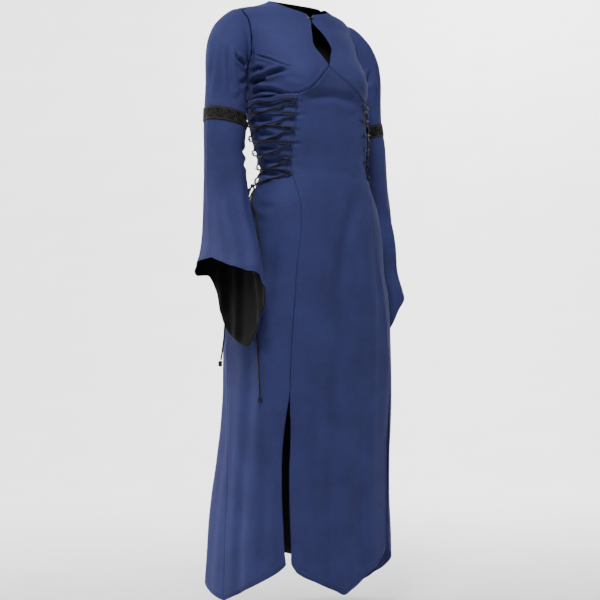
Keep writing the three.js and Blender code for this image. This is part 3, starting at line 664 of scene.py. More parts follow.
@dataclass(frozen=True)
class Wire:
    """Drawn and bent steel wire, dulled by handling."""

    name: str
    slot: str
    colour: str
    roughness: float

    def build(self) -> bpy.types.Material:
        """Makes the material."""
        values = {"Base Color": linear(self.colour), "Metallic": 1.0}
        material, tree, shader = start_material(self.name, values)
        place = add_node(tree, "ShaderNodeTexCoord").outputs["Object"]
        drawn = {"Scale": 900.0, "Detail": 3.0}
        marks = add_node(tree, "ShaderNodeTexNoise", drawn, {"Vector": place})
        spread = {"To Min": self.roughness - 0.08, "To Max": self.roughness + 0.12}
        dulled = add_node(tree, "ShaderNodeMapRange", spread, {"Value": marks.outputs["Fac"]})
        tree.links.new(dulled.outputs["Result"], shader.inputs["Roughness"])
        return material


Finish = Cloth | Yarn | Wire

# Mercerised cotton twill, piece-dyed navy: the diagonal scatters the light, so the cloth looks
# soft and slightly grey where it faces the lamp. The real twill's 0.6 mm is drawn at 1.5 mm.
# Its last colour is a painted highlight on the ridges of the twill.
TWILL = Cloth(
    "navy_cotton_twill_piece_dyed", "dress_cloth", "#2B2E57", "#353A6E", 1.5, 27.0, 0.16, 0.84, 0.2,
    "#41477A",
)
# Plain-woven polyester lining, near black: partly the lining's own black, partly painted shade
# inside the openings; its last colour is a painted highlight on the weave.
POPLIN = Cloth(
    "black_lining_plain_weave", "lining", "#050506", "#09090B", 1.0, 0.0, 0.08, 0.8, 0.02, "#0D0D0F"
)
# Ribbed black ground of a jacquard ribbon: fine ribs across it give a dull grain.
# Its last colour is a painted highlight on the ribs.
RIBBON = Cloth(
    "black_ribbon_ribbed_jacquard", "woven_band", "#0B0C0E", "#131417", 1.2, 0.0, 0.14, 0.7, 0.05,
    "#18181B",
)
# Bronze rayon floats on the ribbon: twisted strands with a low shine.
FLOAT = Yarn(
    "bronze_rayon_thread_woven", "woven_band", "#24221A", "#454030", 0.9, 35.0, False, 0.12, 0.5
)
# Braided polyester cord, dyed black: crossing strands catch small lights, and their tops carry a
# painted highlight.
BRAID = Yarn(
    "black_polyester_cord_braided", "lacing_cord", "#030409", "#0B0D16", 1.6, 42.0, True, 0.35, 0.7
)
# Rolled cloth loops of the dress's own twill, sewn into the seams.
ROLLED = Yarn(
    "navy_cloth_loop_rolled", "thread_loop", "#1D2446", "#2D3560", 1.4, 30.0, False, 0.2, 0.8
)
# Polyester sewing thread one shade lighter than the cloth: it marks the topstitched edges.
THREAD = Yarn(
    "navy_polyester_thread_twisted", "dress_cloth", "#2C3460", "#424B78", 0.6, 30.0, False, 0.08, 0.6
)
STEEL = Wire("steel_wire_drawn", "hook_steel", "#9A9CA2", 0.34)


class Wardrobe:
    """The finishes' materials, each made once."""

    def __init__(self) -> None:
        """Makes every material."""
        finishes = (TWILL, POPLIN, RIBBON, FLOAT, BRAID, ROLLED, THREAD, STEEL)
        self.made = {finish.name: finish.build() for finish in finishes}

    def of(self, finish: Finish) -> bpy.types.Material:
        """Returns a finish's material."""
        return self.made[finish.name]


WARDROBE = Wardrobe()


def dress_piece(piece: bpy.types.Object, nodes: Sequence[str]) -> None:
    """Lets a piece ride and hides the solids that it stands for."""
    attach(piece, "root")
    if nodes:
        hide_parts(*nodes)
    LOG.info("%s: %d faces", piece.name, len(piece.data.polygons))


def mesh_object(
    name: str, points: Array, faces: Sequence[Sequence[int]], finish: Finish, weave: Array
) -> bpy.types.Object:
    """Makes a mesh object.

    Args:
        name: The piece's name.
        points: Its points in millimetres.
        faces: Indices of each face's points.
        finish: What it is made of.
        weave: Each point's place on the weave's grid, in millimetres.
    """
    mesh = bpy.data.meshes.new(name)
    mesh.from_pydata((points * MM).tolist(), [], [tuple(map(int, face)) for face in faces])
    mesh.materials.append(WARDROBE.of(finish))
    layer = mesh.uv_layers.new(name="weave")
    corners = np.zeros(len(mesh.loops), np.int64)
    mesh.loops.foreach_get("vertex_index", corners)
    layer.data.foreach_set("uv", (weave[corners] * MM).ravel())
    mesh.polygons.foreach_set("use_smooth", np.ones(len(mesh.polygons), bool))
    mesh.update()
    piece = bpy.data.objects.new(name, mesh)
    bpy.context.scene.collection.objects.link(piece)
    return piece


def grid_faces(rows: int, columns: int, is_tube: bool) -> Array:
    """Returns the faces of a grid whose rows may close round."""
    wide = columns if is_tube else columns - 1
    j, i = np.meshgrid(np.arange(rows - 1), np.arange(wide), indexing="ij")
    a = j * columns + i
    b = j * columns + (i + 1) % columns
    return np.stack([a, a + columns, b + columns, b], axis=-1).reshape(-1, 4)


def outward(points: Array, is_tube: bool) -> Array:
    """Returns a grid's normals."""
    if is_tube:
        run = np.roll(points, -1, axis=1) - np.roll(points, 1, axis=1)
    else:
        run = np.gradient(points, axis=1)
    return unit(np.cross(run, -np.gradient(points, axis=0)))


@dataclass
class Tube:
    """A thread, cord or wire along a line."""

    line: Array
    diameter: float
    sides: int = 10

    def rings(self) -> Array:
        """Returns the tube's rings of points."""
        ahead = unit(np.gradient(self.line, axis=0))
        side = np.cross(ahead[0], (0.0, 0.0, 1.0))
        if np.linalg.norm(side) < 0.1:
            side = np.cross(ahead[0], (1.0, 0.0, 0.0))
        side = unit(side)
        turns = (np.arange(self.sides) * 2 * pi / self.sides)[:, None]
        found = []
        for point, way in zip(self.line, ahead):
            side = unit(side - way * (side @ way))
            ring = np.cos(turns) * side + np.sin(turns) * np.cross(way, side)
            found.append(point + self.diameter / 2 * ring)
        return np.stack(found)

    def mesh(self) -> tuple[Array, list[Sequence[int]], Array]:
        """Returns the tube's points, faces and places on its weave."""
        rings = self.rings()
        faces: list[Sequence[int]] = grid_faces(len(rings), self.sides, True).tolist()
        faces.append(list(range(self.sides)))
        faces.append([(len(rings) - 1) * self.sides + i for i in range(self.sides)][::-1])
        around = np.arange(self.sides) / self.sides * pi * self.diameter
        u, v = np.meshgrid(around, arc(self.line))
        return rings.reshape(-1, 3), faces, np.stack([u, v], axis=-1).reshape(-1, 2)


def join_tubes(
    name: str, tubes: Sequence[Tube], finish: Finish, *nodes: str
) -> bpy.types.Object:
    """Makes one piece of several tubes, which stands for the named solids."""
    points, faces, weave, start = [], [], [], 0
    for tube in tubes:
        tube_points, tube_faces, tube_weave = tube.mesh()
        points.append(tube_points)
        weave.append(tube_weave)
        faces += [[index + start for index in face] for face in tube_faces]
        start += len(tube_points)
    piece = mesh_object(name, np.vstack(points), faces, finish, np.vstack(weave))
    dress_piece(piece, nodes)
    return piece


@dataclass(frozen=True)
class Stitching:
    """A run of topstitches: how long each is, the gap between two and the thread."""

    length: float = 3.0
    gap: float = 1.0
    thread: float = 0.55

    def tubes(self, line: Array) -> list[Tube]:
        """Returns one short tube for each stitch along a line."""
        away = arc(line)
        found = []
        for start in np.arange(0.5, away[-1] - self.length, self.length + self.gap):
            at = np.array([start, start + self.length / 2, start + self.length])
            points = np.stack([np.interp(at, away, line[:, k]) for k in range(3)], axis=-1)
            found.append(Tube(points, self.thread, 4))
        return found


@dataclass
class Sewing:
    """The topstitching and bar tacks on the dress."""

    run: Stitching = field(default_factory=Stitching)
    lines: dict[str, list[Array]] = field(default_factory=dict)

    def follow(self, piece: "Sheet", edge: str, offset: float) -> None:
        """Keeps a line of stitches at a distance from a cloth's edge."""
        self.lines.setdefault(piece.name, []).append(piece.edge_line(edge, offset))

    def bar_tack(self, piece: "Sheet", edge: str, height: float) -> None:
        """Keeps the dense short bar that holds the top of a slit."""
        outer, inner = piece.edge_line(edge, 0.8), piece.edge_line(edge, 8.0)
        row = int(np.argmin(np.abs(outer[:, 2] - height)))
        bar = [
            mix(outer[row], inner[row], share) + (0, 0, 1.1 * (-1) ** turn)
            for turn, share in enumerate(np.linspace(0, 1, 15))
        ]
        self.lines.setdefault(piece.name, []).append(np.array(bar))

    def build(self) -> None:
        """Builds one piece of stitches for each cloth."""
        for name, lines in self.lines.items():
            tubes = [tube for line in lines for tube in self.run.tubes(line)]
            join_tubes(f"{name}_stitches", tubes, THREAD)


@dataclass
class Sheet:
    """A cloth piece: a thin shell on its solid's outer face, with its creases and seams."""

    node: str
    finish: Cloth
    points: Array
    is_tube: bool = False
    facing: int = 1
    thickness: float = SHELL
    held: str = "hung"
    rests_on: tuple[str, ...] = ("root",)
    folds: list[tuple[Fold, Array]] = field(default_factory=list)
    dips: tuple[str, ...] = ()
    waves: Waves | None = field(default_factory=Waves)
    stitches: tuple[tuple[str, float], ...] = ()
    tacks: tuple[tuple[str, float], ...] = ()

    @property
    def name(self) -> str:
        """The cloth's own name."""
        return f"{self.node}_cloth"

    def edge_sink(self) -> Array:
        """Returns how far the cloth sinks towards the seams named in dips."""
        p = self.points
        across = np.linalg.norm(np.diff(p, axis=1), axis=-1)
        down = np.linalg.norm(np.diff(p, axis=0), axis=-1)
        zero_column, zero_row = np.zeros((p.shape[0], 1)), np.zeros((1, p.shape[1]))
        reach = {
            "first": np.hstack([zero_column, np.cumsum(across, axis=1)]),
            "last": np.hstack([np.cumsum(across[:, ::-1], axis=1)[:, ::-1], zero_column]),
            "top": np.vstack([zero_row, np.cumsum(down, axis=0)]),
            "bottom": np.vstack([np.cumsum(down[::-1], axis=0)[::-1], zero_row]),
        }
        total = np.zeros(p.shape[:2])
        for edge in self.dips:
            away = reach[edge]
            total += np.exp(-((away / 2.4) ** 2))
            total -= 0.35 * np.exp(-(((away - 5.5) / 3.2) ** 2))
        return total

    def shaped(self) -> Array:
        """Returns the points with creases, seams and unevenness."""
        normals = outward(self.points, self.is_tube) * self.facing
        sink = self.edge_sink()
        for fold, line in self.folds:
            sink = sink + fold.sink(self.points, line)
        if self.waves:
            sink = sink - self.waves.rise(self.points)
        return self.points - normals * sink[..., None]

    def edge_line(self, edge: str, offset: float) -> Array:
        """Returns a line just over the dressed cloth, at a distance from one of its edges."""
        shaped = self.shaped()
        points = shaped + outward(shaped, self.is_tube) * self.facing * 0.3
        if edge in ("top", "bottom"):
            points = points.transpose(1, 0, 2)
        if edge in ("last", "bottom"):
            points = points[:, ::-1]
        line = []
        for row in points:
            away = arc(row)
            line.append([np.interp(offset, away, row[:, k]) for k in range(3)])
        return np.array(line)

    def weave(self) -> Array:
        """Returns the grid's places on the weave, in millimetres."""
        across = np.linalg.norm(np.diff(self.points, axis=1), axis=-1)
        down = np.linalg.norm(np.diff(self.points, axis=0), axis=-1)
        u = np.hstack([np.zeros((len(self.points), 1)), np.cumsum(across, axis=1)])
        u = u - u[:, u.shape[1] // 2][:, None]
        middle = down[:, down.shape[1] // 2]
        v = np.concatenate(([0], np.cumsum(middle)))[:, None] + 0 * u
        return np.stack([u, -v], axis=-1).reshape(-1, 2)

    def build(self, sewing: Sewing) -> None:
        rows, columns = self.points.shape[:2]
        faces = grid_faces(rows, columns, self.is_tube)
        if self.facing < 0:
            faces = faces[:, ::-1]
        shaped = self.shaped()
        piece = mesh_object(self.name, shaped.reshape(-1, 3), faces, self.finish, self.weave())
        shell = piece.modifiers.new("thickness", "SOLIDIFY")
        shell.thickness = self.thickness * MM
        shell.offset = -1.0
        shell.use_rim = True
        dress_piece(piece, (self.node,))
        for edge, offset in self.stitches:
            sewing.follow(self, edge, offset)
        for edge, height in self.tacks:
            sewing.bar_tack(self, edge, height)


def on_body(path: Sequence[tuple[float, float]]) -> Array:
    """Returns a path over the body as points, by its angles and heights."""
    return FORM.point(*fine_path(path, 8))


def body_folds(folds: Sequence[Fold], mirror: bool = False) -> list[tuple[Fold, Array]]:
    """Returns folds with their lines over the body, turned to the other side if asked."""
    sign = -1 if mirror else 1
    return [(fold, on_body([(sign * angle, z) for angle, z in fold.path])) for fold in folds]


# The deep folds that the photograph shows under the right arm and bust, by angle and height.
RIGHT_BODICE_FOLDS = (
    Fold(((-74, -143), (-59, -156), (-43, -177)), 3.0, 2.6, 0.6, open_end=True),
    Fold(((-38, -237), (-27, -219), (-13, -187), (-4, -163)), -1.3, 4.0),
    Fold(((-71, -199), (-57, -190), (-45, -184)), 9.0, 5.5, 0.6),
    Fold(((-90, -214), (-82, -206), (-72, -203), (-64, -210)), 9.0, 7.0, 0.5),
    Fold(((-90, -231), (-76, -225), (-60, -231), (-46, -242)), 7.5, 5.5, 0.5),
    Fold(((-88, -168), (-81, -152), (-76, -130)), 3.6, 6.0),
    Fold(((-86, -186), (-76, -177), (-66, -180)), 4.6, 5.5, 0.5),
    Fold(((-86, -118), (-72, -104), (-60, -86)), 1.8, 8.0),
    Fold(((-50, -62), (-40, -84), (-34, -112)), 1.2, 12.0),
    Fold(((-48, -196), (-38, -206), (-30, -208)), 1.6, 7.0),
)
LEFT_BODICE_FOLDS = (
    Fold(((72, -144), (57, -157), (44, -176)), 2.6, 2.6, 0.6, open_end=True),
    Fold(((38, -237), (27, -219), (13, -187), (4, -163)), -1.3, 4.0),
    Fold(((70, -192), (58, -187), (47, -180)), 5.0, 6.0, 0.6),
    Fold(((86, -210), (75, -204), (66, -210)), 4.4, 7.0, 0.5),
    Fold(((86, -232), (72, -226), (57, -233)), 4.0, 6.0),
    Fold(((86, -156), (78, -142), (72, -122)), 3.0, 6.5),
    Fold(((74, -96), (58, -112), (46, -140)), 1.6, 9.0),
    Fold(((82, -104), (68, -92), (56, -70)), 1.6, 9.0),
)
# The front panel hollows under the bust and hangs in long soft folds from the hips.
FRONT_FOLDS = (
    Fold(((-33, -250), (-14, -240), (0, -236), (15, -241), (34, -250)), 8.0, 12.0, 0.1),
    Fold(((36, -262), (24, -276), (12, -286)), 1.8, 9.0),
    Fold(((38, -330), (28, -352), (18, -362)), 1.4, 9.0),
    Fold(((36, -404), (26, -424), (17, -432)), 1.6, 9.0),
    Fold(((24, -440), (16, -486), (7, -533), (0, -590), (-4, -660), (-7, -740)), 4.8, 18.0, 0.6),
    Fold(((-4, -700), (-9, -820), (-8, -960), (-10, -1080)), 3.0, 20.0, 0.6),
    Fold(((34, -520), (32, -700), (29, -880), (27, -1040)), 3.2, 15.0, 0.6),
    Fold(((-24, -820), (-23, -1000), (-25, -1180)), 2.2, 13.0, 0.6),
    Fold(((14, -930), (12, -1120), (15, -1320)), 4.4, 20.0, 0.6, open_end=True),
    Fold(((-12, -1060), (-14, -1200), (-13, -1350)), 2.8, 16.0, 0.6, open_end=True),
    Fold(((-20, -300), (-23, -400), (-21, -480)), 1.3, 12.0),
)
SIDE_FOLDS = (
    Fold(((58, -500), (60, -640), (57, -780)), 2.4, 14.0, 0.6),
    Fold(((74, -560), (76, -740), (72, -960), (68, -1150)), 3.4, 17.0, 0.6),
    Fold(((60, -900), (57, -1080), (55, -1300)), 3.0, 14.0, 0.6, open_end=True),
    Fold(((80, -860), (79, -1050), (77, -1385)), 3.4, 15.0, 0.6, open_end=True),
    Fold(((88, -486), (74, -500), (58, -500)), 2.4, 8.0),
    Fold(((90, -512), (80, -530), (66, -536)), 1.8, 9.0),
)
# Cloth bulges between the crossed laces of the laced side.
LACED_FOLDS = tuple(
    Fold(((90, z + 6), (76, z), (60, z - 4)), depth, width, 0.7)
    for z, depth, width in (
        (-262, 3.6, 6.0), (-296, 4.8, 7.0), (-330, 4.0, 6.0), (-361, 5.0, 6.5), (-392, 4.2, 6.0),
        (-423, 4.6, 6.0),
    )
)
# The back, which the photograph hides, hangs as the front does.
BACK_FOLDS = (
    Fold(((118, -150), (128, -170), (142, -184)), 1.8, 9.0),
    Fold(((242, -148), (231, -166), (218, -176)), 1.6, 9.0),
    Fold(((110, -372), (128, -384), (150, -379)), 1.8, 8.0),
    Fold(((250, -362), (232, -376), (212, -371)), 1.6, 8.0),
    Fold(((114, -410), (135, -421), (162, -412)), 2.4, 9.0),
    Fold(((246, -404), (224, -417), (200, -408)), 2.1, 9.0),
    Fold(((108, -446), (124, -452), (142, -446)), 1.6, 8.0),
    Fold(
        ((172, -640), (170, -800), (174, -980), (171, -1200), (173, -1330)),
        3.4, 24.0, 0.5, open_end=True,
    ),
    Fold(((150, -700), (147, -880), (151, -1080), (148, -1350)), 2.8, 20.0, 0.5, open_end=True),
    Fold(((196, -720), (199, -900), (195, -1120), (198, -1340)), 3.0, 22.0, 0.5, open_end=True),
    Fold(((126, -760), (122, -960), (126, -1180), (121, -1370)), 2.4, 18.0, 0.5, open_end=True),
    Fold(((222, -690), (225, -860), (221, -1060), (226, -1360)), 2.6, 19.0, 0.5, open_end=True),
    Fold(((246, -820), (249, -1040), (246, -1370)), 2.0, 16.0, 0.5, open_end=True),
    Fold(((104, -900), (101, -1120), (100, -1380)), 2.0, 16.0, 0.5, open_end=True),
)


def loop_z(is_front: bool, pair: int) -> float:
    """Returns the height of a lace loop."""
    return (FRONT_LOOP_Z if is_front else BACK_LOOP_Z) - pair * LACE_PITCH


# How long and deep the pull from each loop is, on the laced side, from the top pair down.
LOOP_PULLS = ((21, 1.7), (30, 2.4), (24, 2.0), (34, 2.7), (27, 2.1), (19, 1.6))


def pulls(side: Side, is_laced_side: bool) -> list[tuple[Fold, Array]]:
    """Returns the small pulls that run from the loops into the cloth."""
    found = []
    for pair, (reach, depth) in enumerate(LOOP_PULLS):
        z = loop_z(True, pair)
        angle = float(FORM.princess(np.array([z]))[0, 0])
        run = reach * 0.42 * (1 if is_laced_side else -0.62)
        drop = (-3, 4, -5, 3, 6, -4)[pair]
        path = ((side.value * angle, z), (side.value * (angle + run), z + drop))
        found.append((Fold(path, depth, 4.2, 0.5, open_start=True), on_body(path)))
        if is_laced_side:
            back_z = loop_z(False, pair)
            back = float(FORM.side_seam(np.array([back_z]))[0, 0])
            path = ((side.value * back, back_z), (side.value * (back - run), back_z - drop))
            found.append((Fold(path, depth * 0.9, 4.6, 0.5, open_start=True), on_body(path)))
    return found


@dataclass
class BodyCloth:
    """The front panel, bodice fronts, side panels, back and linings of the body."""

    sewing: Sewing
    step: float = 5.5
    rows_per_step: int = 8

    def front_panel(self) -> None:
        """Builds the front panel, from the seam under the bust to the hem's point."""
        s, t = spaced(260, self.step), np.linspace(0, 1, 21 * self.rows_per_step + 1)
        gap = SEAM_GAP / 2
        x = mix(-BUST_SEAM_X, BUST_SEAM_X, s)
        top = FORM.front_place(x, FORM.under_bust_z(np.abs(x)) - gap * 1.2)
        x = mix(-CORNER_X, CORNER_X, s)
        bottom = FORM.front_place(x, FORM.hem_z(x))
        right = FORM.princess(levels(BUST_SEAM_Z - gap, RIGHT_CORNER_Z)(t), -1) * (-1, 1)
        left = FORM.princess(levels(BUST_SEAM_Z - gap, LEFT_CORNER_Z)(t), -1)
        top[0], top[-1], bottom[0], bottom[-1] = right[0], left[0], right[-1], left[-1]
        places = fill(top, bottom, right, left, s, t)
        points = FORM.at(places)
        folds = body_folds(FRONT_FOLDS) + pulls(Side.RIGHT, False) + pulls(Side.LEFT, False)
        Sheet(
            "front_panel", TWILL, points, folds=folds, dips=("first", "last", "top"),
            stitches=(("first", 6.0), ("last", 6.0), ("bottom", 16.0), ("top", 4.5)),
            tacks=(("first", SLIT_TOP), ("last", SLIT_TOP)),
        ).build(self.sewing)

    def bodice(self, side: Side) -> None:
        """Builds one bodice front, from the shoulder to the seam under the bust."""
        laced_share = 0.5
        s, t = spaced(170, 2.6), np.linspace(0, 1, 16 * 8 + 1)
        start = FORM.shoulder(np.array([NECK_POINT_Z]), -1)[0, 0]
        end = float(FORM.front_angle(np.array([8.0]), np.array([FRONT_NECK_Z]))[0])
        angle = mix(start, end, s)
        slope = 1 - np.cos(pi / 2 * (1 - np.abs(angle) / 90))
        neck = np.stack([angle, mix(NECK_POINT_Z, FRONT_NECK_Z, slope)], axis=-1)
        gap = SEAM_GAP / 2
        outside = along(
            (
                (3, lambda u: FORM.shoulder(mix(NECK_POINT_Z, SHOULDER_TIP_Z, u), -1)),
                (10, lambda u: self.hole(180 * u, -1)),
                (3, lambda u: FORM.side_seam(mix(UNDERARM_Z, LACED_TOP_Z + gap, u), -1)),
            ),
            t,
        )
        z = mix(FRONT_NECK_Z, KEYHOLE_TIP_Z, t)
        edge = FORM.front_place(FORM.keyhole_x(z), z)
        corner = FORM.front_place(np.array([BUST_SEAM_X]), np.array([BUST_SEAM_Z + gap]))[0]
        x = mix(BUST_SEAM_X, 0.0, np.clip((s - laced_share) / (1 - laced_share), 0, 1))
        seam = FORM.front_place(np.maximum(x, 0.4), FORM.under_bust_z(x) + gap * 1.2)
        laced = s < laced_share
        seam[laced] = mix(outside[-1], corner, (s[laced] / laced_share)[:, None])
        edge[0], edge[-1] = neck[-1], seam[-1]
        places = fill(neck, seam, outside, edge, s, t) * (side.value, 1)
        points = FORM.at(places)
        folds = body_folds(RIGHT_BODICE_FOLDS if side is Side.RIGHT else LEFT_BODICE_FOLDS)
        Sheet(
            f"bodice_front_{side.label}", TWILL, points, facing=side.value * -1, folds=folds,
            dips=("first", "bottom"), waves=Waves(seed=11 + side.value, depth=1.0),
            stitches=(("last", 5.0), ("top", 5.0)),
        ).build(self.sewing)

    @staticmethod
    def hole(around: Array, sign: float) -> Array:
        """Returns the armhole's places, ended at the shoulder and side seams."""
        places = FORM.armhole(around)
        places[around % 360 == 0] = FORM.shoulder(np.array([SHOULDER_TIP_Z]), sign)[0]
        places[around == 180] = FORM.side_seam(np.array([UNDERARM_Z]), sign)[0]
        return places

    def side_panel(self, side: Side) -> None:
        """Builds one laced side, from the bodice to the hem's side point."""
        s, t = spaced(130, self.step), np.linspace(0, 1, 21 * self.rows_per_step + 1)
        gap = SEAM_GAP / 2
        corner = RIGHT_CORNER_Z if side is Side.RIGHT else LEFT_CORNER_Z
        front = FORM.princess(levels(BUST_SEAM_Z - gap, corner)(t), 1)
        back = FORM.side_seam(levels(LACED_TOP_Z - gap, SIDE_HEM_TIP)(t), -1)
        top = mix(front[0], back[0], s[:, None])
        low_z = mix(front[-1, 1], back[-1, 1], s**SIDE_HEM_BOW)
        bottom = np.stack([mix(front[-1, 0], back[-1, 0], s), low_z], axis=-1)
        places = fill(top, bottom, front, back, s, t) * (side.value, 1)
        points = FORM.at(places)
        folds = body_folds(SIDE_FOLDS + LACED_FOLDS, side is Side.RIGHT) + pulls(side, True)
        Sheet(
            f"side_panel_{side.label}", TWILL, points, facing=side.value, folds=folds,
            dips=("first", "last", "top"), waves=Waves(seed=21 + side.value, depth=1.1),
            stitches=(("bottom", 16.0),), tacks=(("first", SLIT_TOP),),
        ).build(self.sewing)

    def back(self) -> None:
        """Builds the back and the linings that the neck, keyhole and slits show."""
        per = 6
        s, t = spaced(480, 6.5), np.linspace(0, 1, 37 * per + 1)
        left = along(
            (
                (3, lambda u: FORM.shoulder(mix(NECK_POINT_Z, SHOULDER_TIP_Z, u), 1)),
                (10, lambda u: self.hole(360 - 180 * u, 1)),
                (3, lambda u: FORM.side_seam(mix(UNDERARM_Z, LACED_TOP_Z, u), 1)),
                (21, lambda u: FORM.side_seam(levels(LACED_TOP_Z, SIDE_HEM_TIP)(u), 1)),
            ),
            t,
        )
        right = np.stack([360 - left[:, 0], left[:, 1]], axis=-1)

        def across(row: int, middle: float, power: float) -> Array:
            """Returns the upper or lower edge, bowed at the middle."""
            angle = mix(left[row, 0], right[row, 0], s)
            return np.stack([angle, mix(left[row, 1], middle, np.sin(pi * s) ** power)], axis=-1)

        top = across(0, BACK_NECK_Z, BACK_NECK_POWER)
        bottom = across(-1, BACK_HEM_MIDDLE, BACK_HEM_POWER)
        places = fill(top, bottom, left, right, s, t)
        points = FORM.at(places)
        hang = {"folds": body_folds(BACK_FOLDS), "waves": Waves(seed=31, depth=1.0)}
        stitches = (("bottom", 16.0), ("top", 5.0))
        Sheet(
            "back_panel", TWILL, points, dips=("first", "last"), stitches=stitches, **hang
        ).build(self.sewing)
        inner = points - FORM.normal(places[..., 0], places[..., 1]) * (CLOTH + SEAM_GAP)
        for node, rows, hidden_edge in (
            ("lining_neck", slice(0, 11 * per + 1), "bottom"),
            ("lining_skirt", slice(28 * per, None), "top"),
        ):
            Sheet(
                node, POPLIN, inner[rows], thickness=LINING, rests_on=("back_panel_cloth",),
                dips=(hidden_edge,), **hang,
            ).build(self.sewing)

    def build(self) -> None:
        """Builds every piece of the body."""
        self.front_panel()
        for side in Side:
            self.bodice(side)
            self.side_panel(side)
        self.back()


# Creases of each sleeve, by degrees round it from its outer side to the front, and height.
UPPER_SLEEVE_FOLDS = {
    Side.RIGHT: (
        Fold(((44, -128), (39, -205), (32, -256)), 3.6, 7.0, 0.6),
        Fold(((86, -146), (96, -158), (122, -168)), 7.5, 5.0, 0.6, open_end=True),
        Fold(((66, -120), (64, -180), (78, -240)), 4.4, 6.5, 0.5),
        Fold(((150, -192), (120, -208), (96, -214)), 5.0, 6.0, 0.5),
        Fold(((14, -80), (26, -140), (16, -210)), 3.2, 9.0, 0.5),
        Fold(((112, -236), (88, -250), (62, -250)), 3.6, 6.0),
        Fold(((236, -150), (262, -176), (282, -214)), 3.6, 8.0),
        Fold(((205, -205), (240, -224), (268, -232)), 2.6, 7.0),
    ),
    Side.LEFT: (
        Fold(((78, -112), (70, -170), (84, -240)), 4.6, 7.5, 0.5),
        Fold(((100, -140), (108, -168), (134, -190)), 6.0, 6.0, 0.5),
        Fold(((52, -96), (50, -152), (58, -220)), 2.0, 10.0),
        Fold(((240, -146), (265, -180), (284, -222)), 3.2, 8.0),
        Fold(((202, -210), (236, -230), (270, -238)), 2.4, 7.0),
    ),
}
LOWER_SLEEVE_FOLDS = {
    Side.RIGHT: (
        Fold(
            ((8, -296), (6, -391), (-4, -483), (-8, -598), (-9, -625)),
            1.5, 1.9, 0.7, open_start=True, open_end=True,
        ),
        Fold(((196, -352), (164, -372), (118, -362)), 4.4, 7.0, 0.6),
        Fold(((200, -398), (160, -392), (112, -410)), 3.4, 6.0, 0.6),
        Fold(((222, -376), (246, -384), (268, -372)), 2.6, 7.0),
        Fold(((126, -420), (112, -500), (116, -600), (108, -668)), 3.6, 11.0, 0.6, open_end=True),
        Fold(((66, -450), (60, -540), (66, -640)), 2.8, 10.0, 0.6, open_end=True),
        Fold(((34, -470), (30, -540), (36, -630)), 1.8, 9.0, 0.6, open_end=True),
        Fold(((150, -560), (156, -650), (150, -752)), 3.4, 12.0, 0.6, open_end=True),
        Fold(((196, -610), (200, -700), (198, -790)), 4.4, 11.0, 0.6, open_end=True),
        Fold(((222, -590), (228, -660), (224, -730)), 4.0, 9.0, 0.6, open_end=True),
        Fold(((300, -430), (308, -520), (302, -630)), 2.6, 10.0, 0.6, open_end=True),
    ),
    Side.LEFT: (
        Fold(
            ((8, -300), (5, -400), (-3, -500), (-6, -650)),
            1.5, 1.9, 0.7, open_start=True, open_end=True,
        ),
        Fold(((194, -356), (166, -370), (124, -362)), 3.6, 7.0, 0.6),
        Fold(((202, -404), (168, -396), (116, -412)), 3.0, 7.0, 0.6),
        Fold(((60, -440), (52, -540), (58, -690)), 3.6, 11.0, 0.6, open_end=True),
        Fold(((96, -470), (92, -580), (98, -740)), 3.8, 11.0, 0.6, open_end=True),
        Fold(((20, -430), (18, -530), (26, -650)), 2.2, 9.0, 0.6, open_end=True),
        Fold(((140, -580), (146, -680), (142, -790)), 3.8, 12.0, 0.6, open_end=True),
        Fold(((226, -560), (232, -640), (228, -700)), 3.2, 10.0, 0.6, open_end=True),
        Fold(((300, -450), (306, -540), (300, -640)), 2.6, 10.0, 0.6, open_end=True),
    ),
}


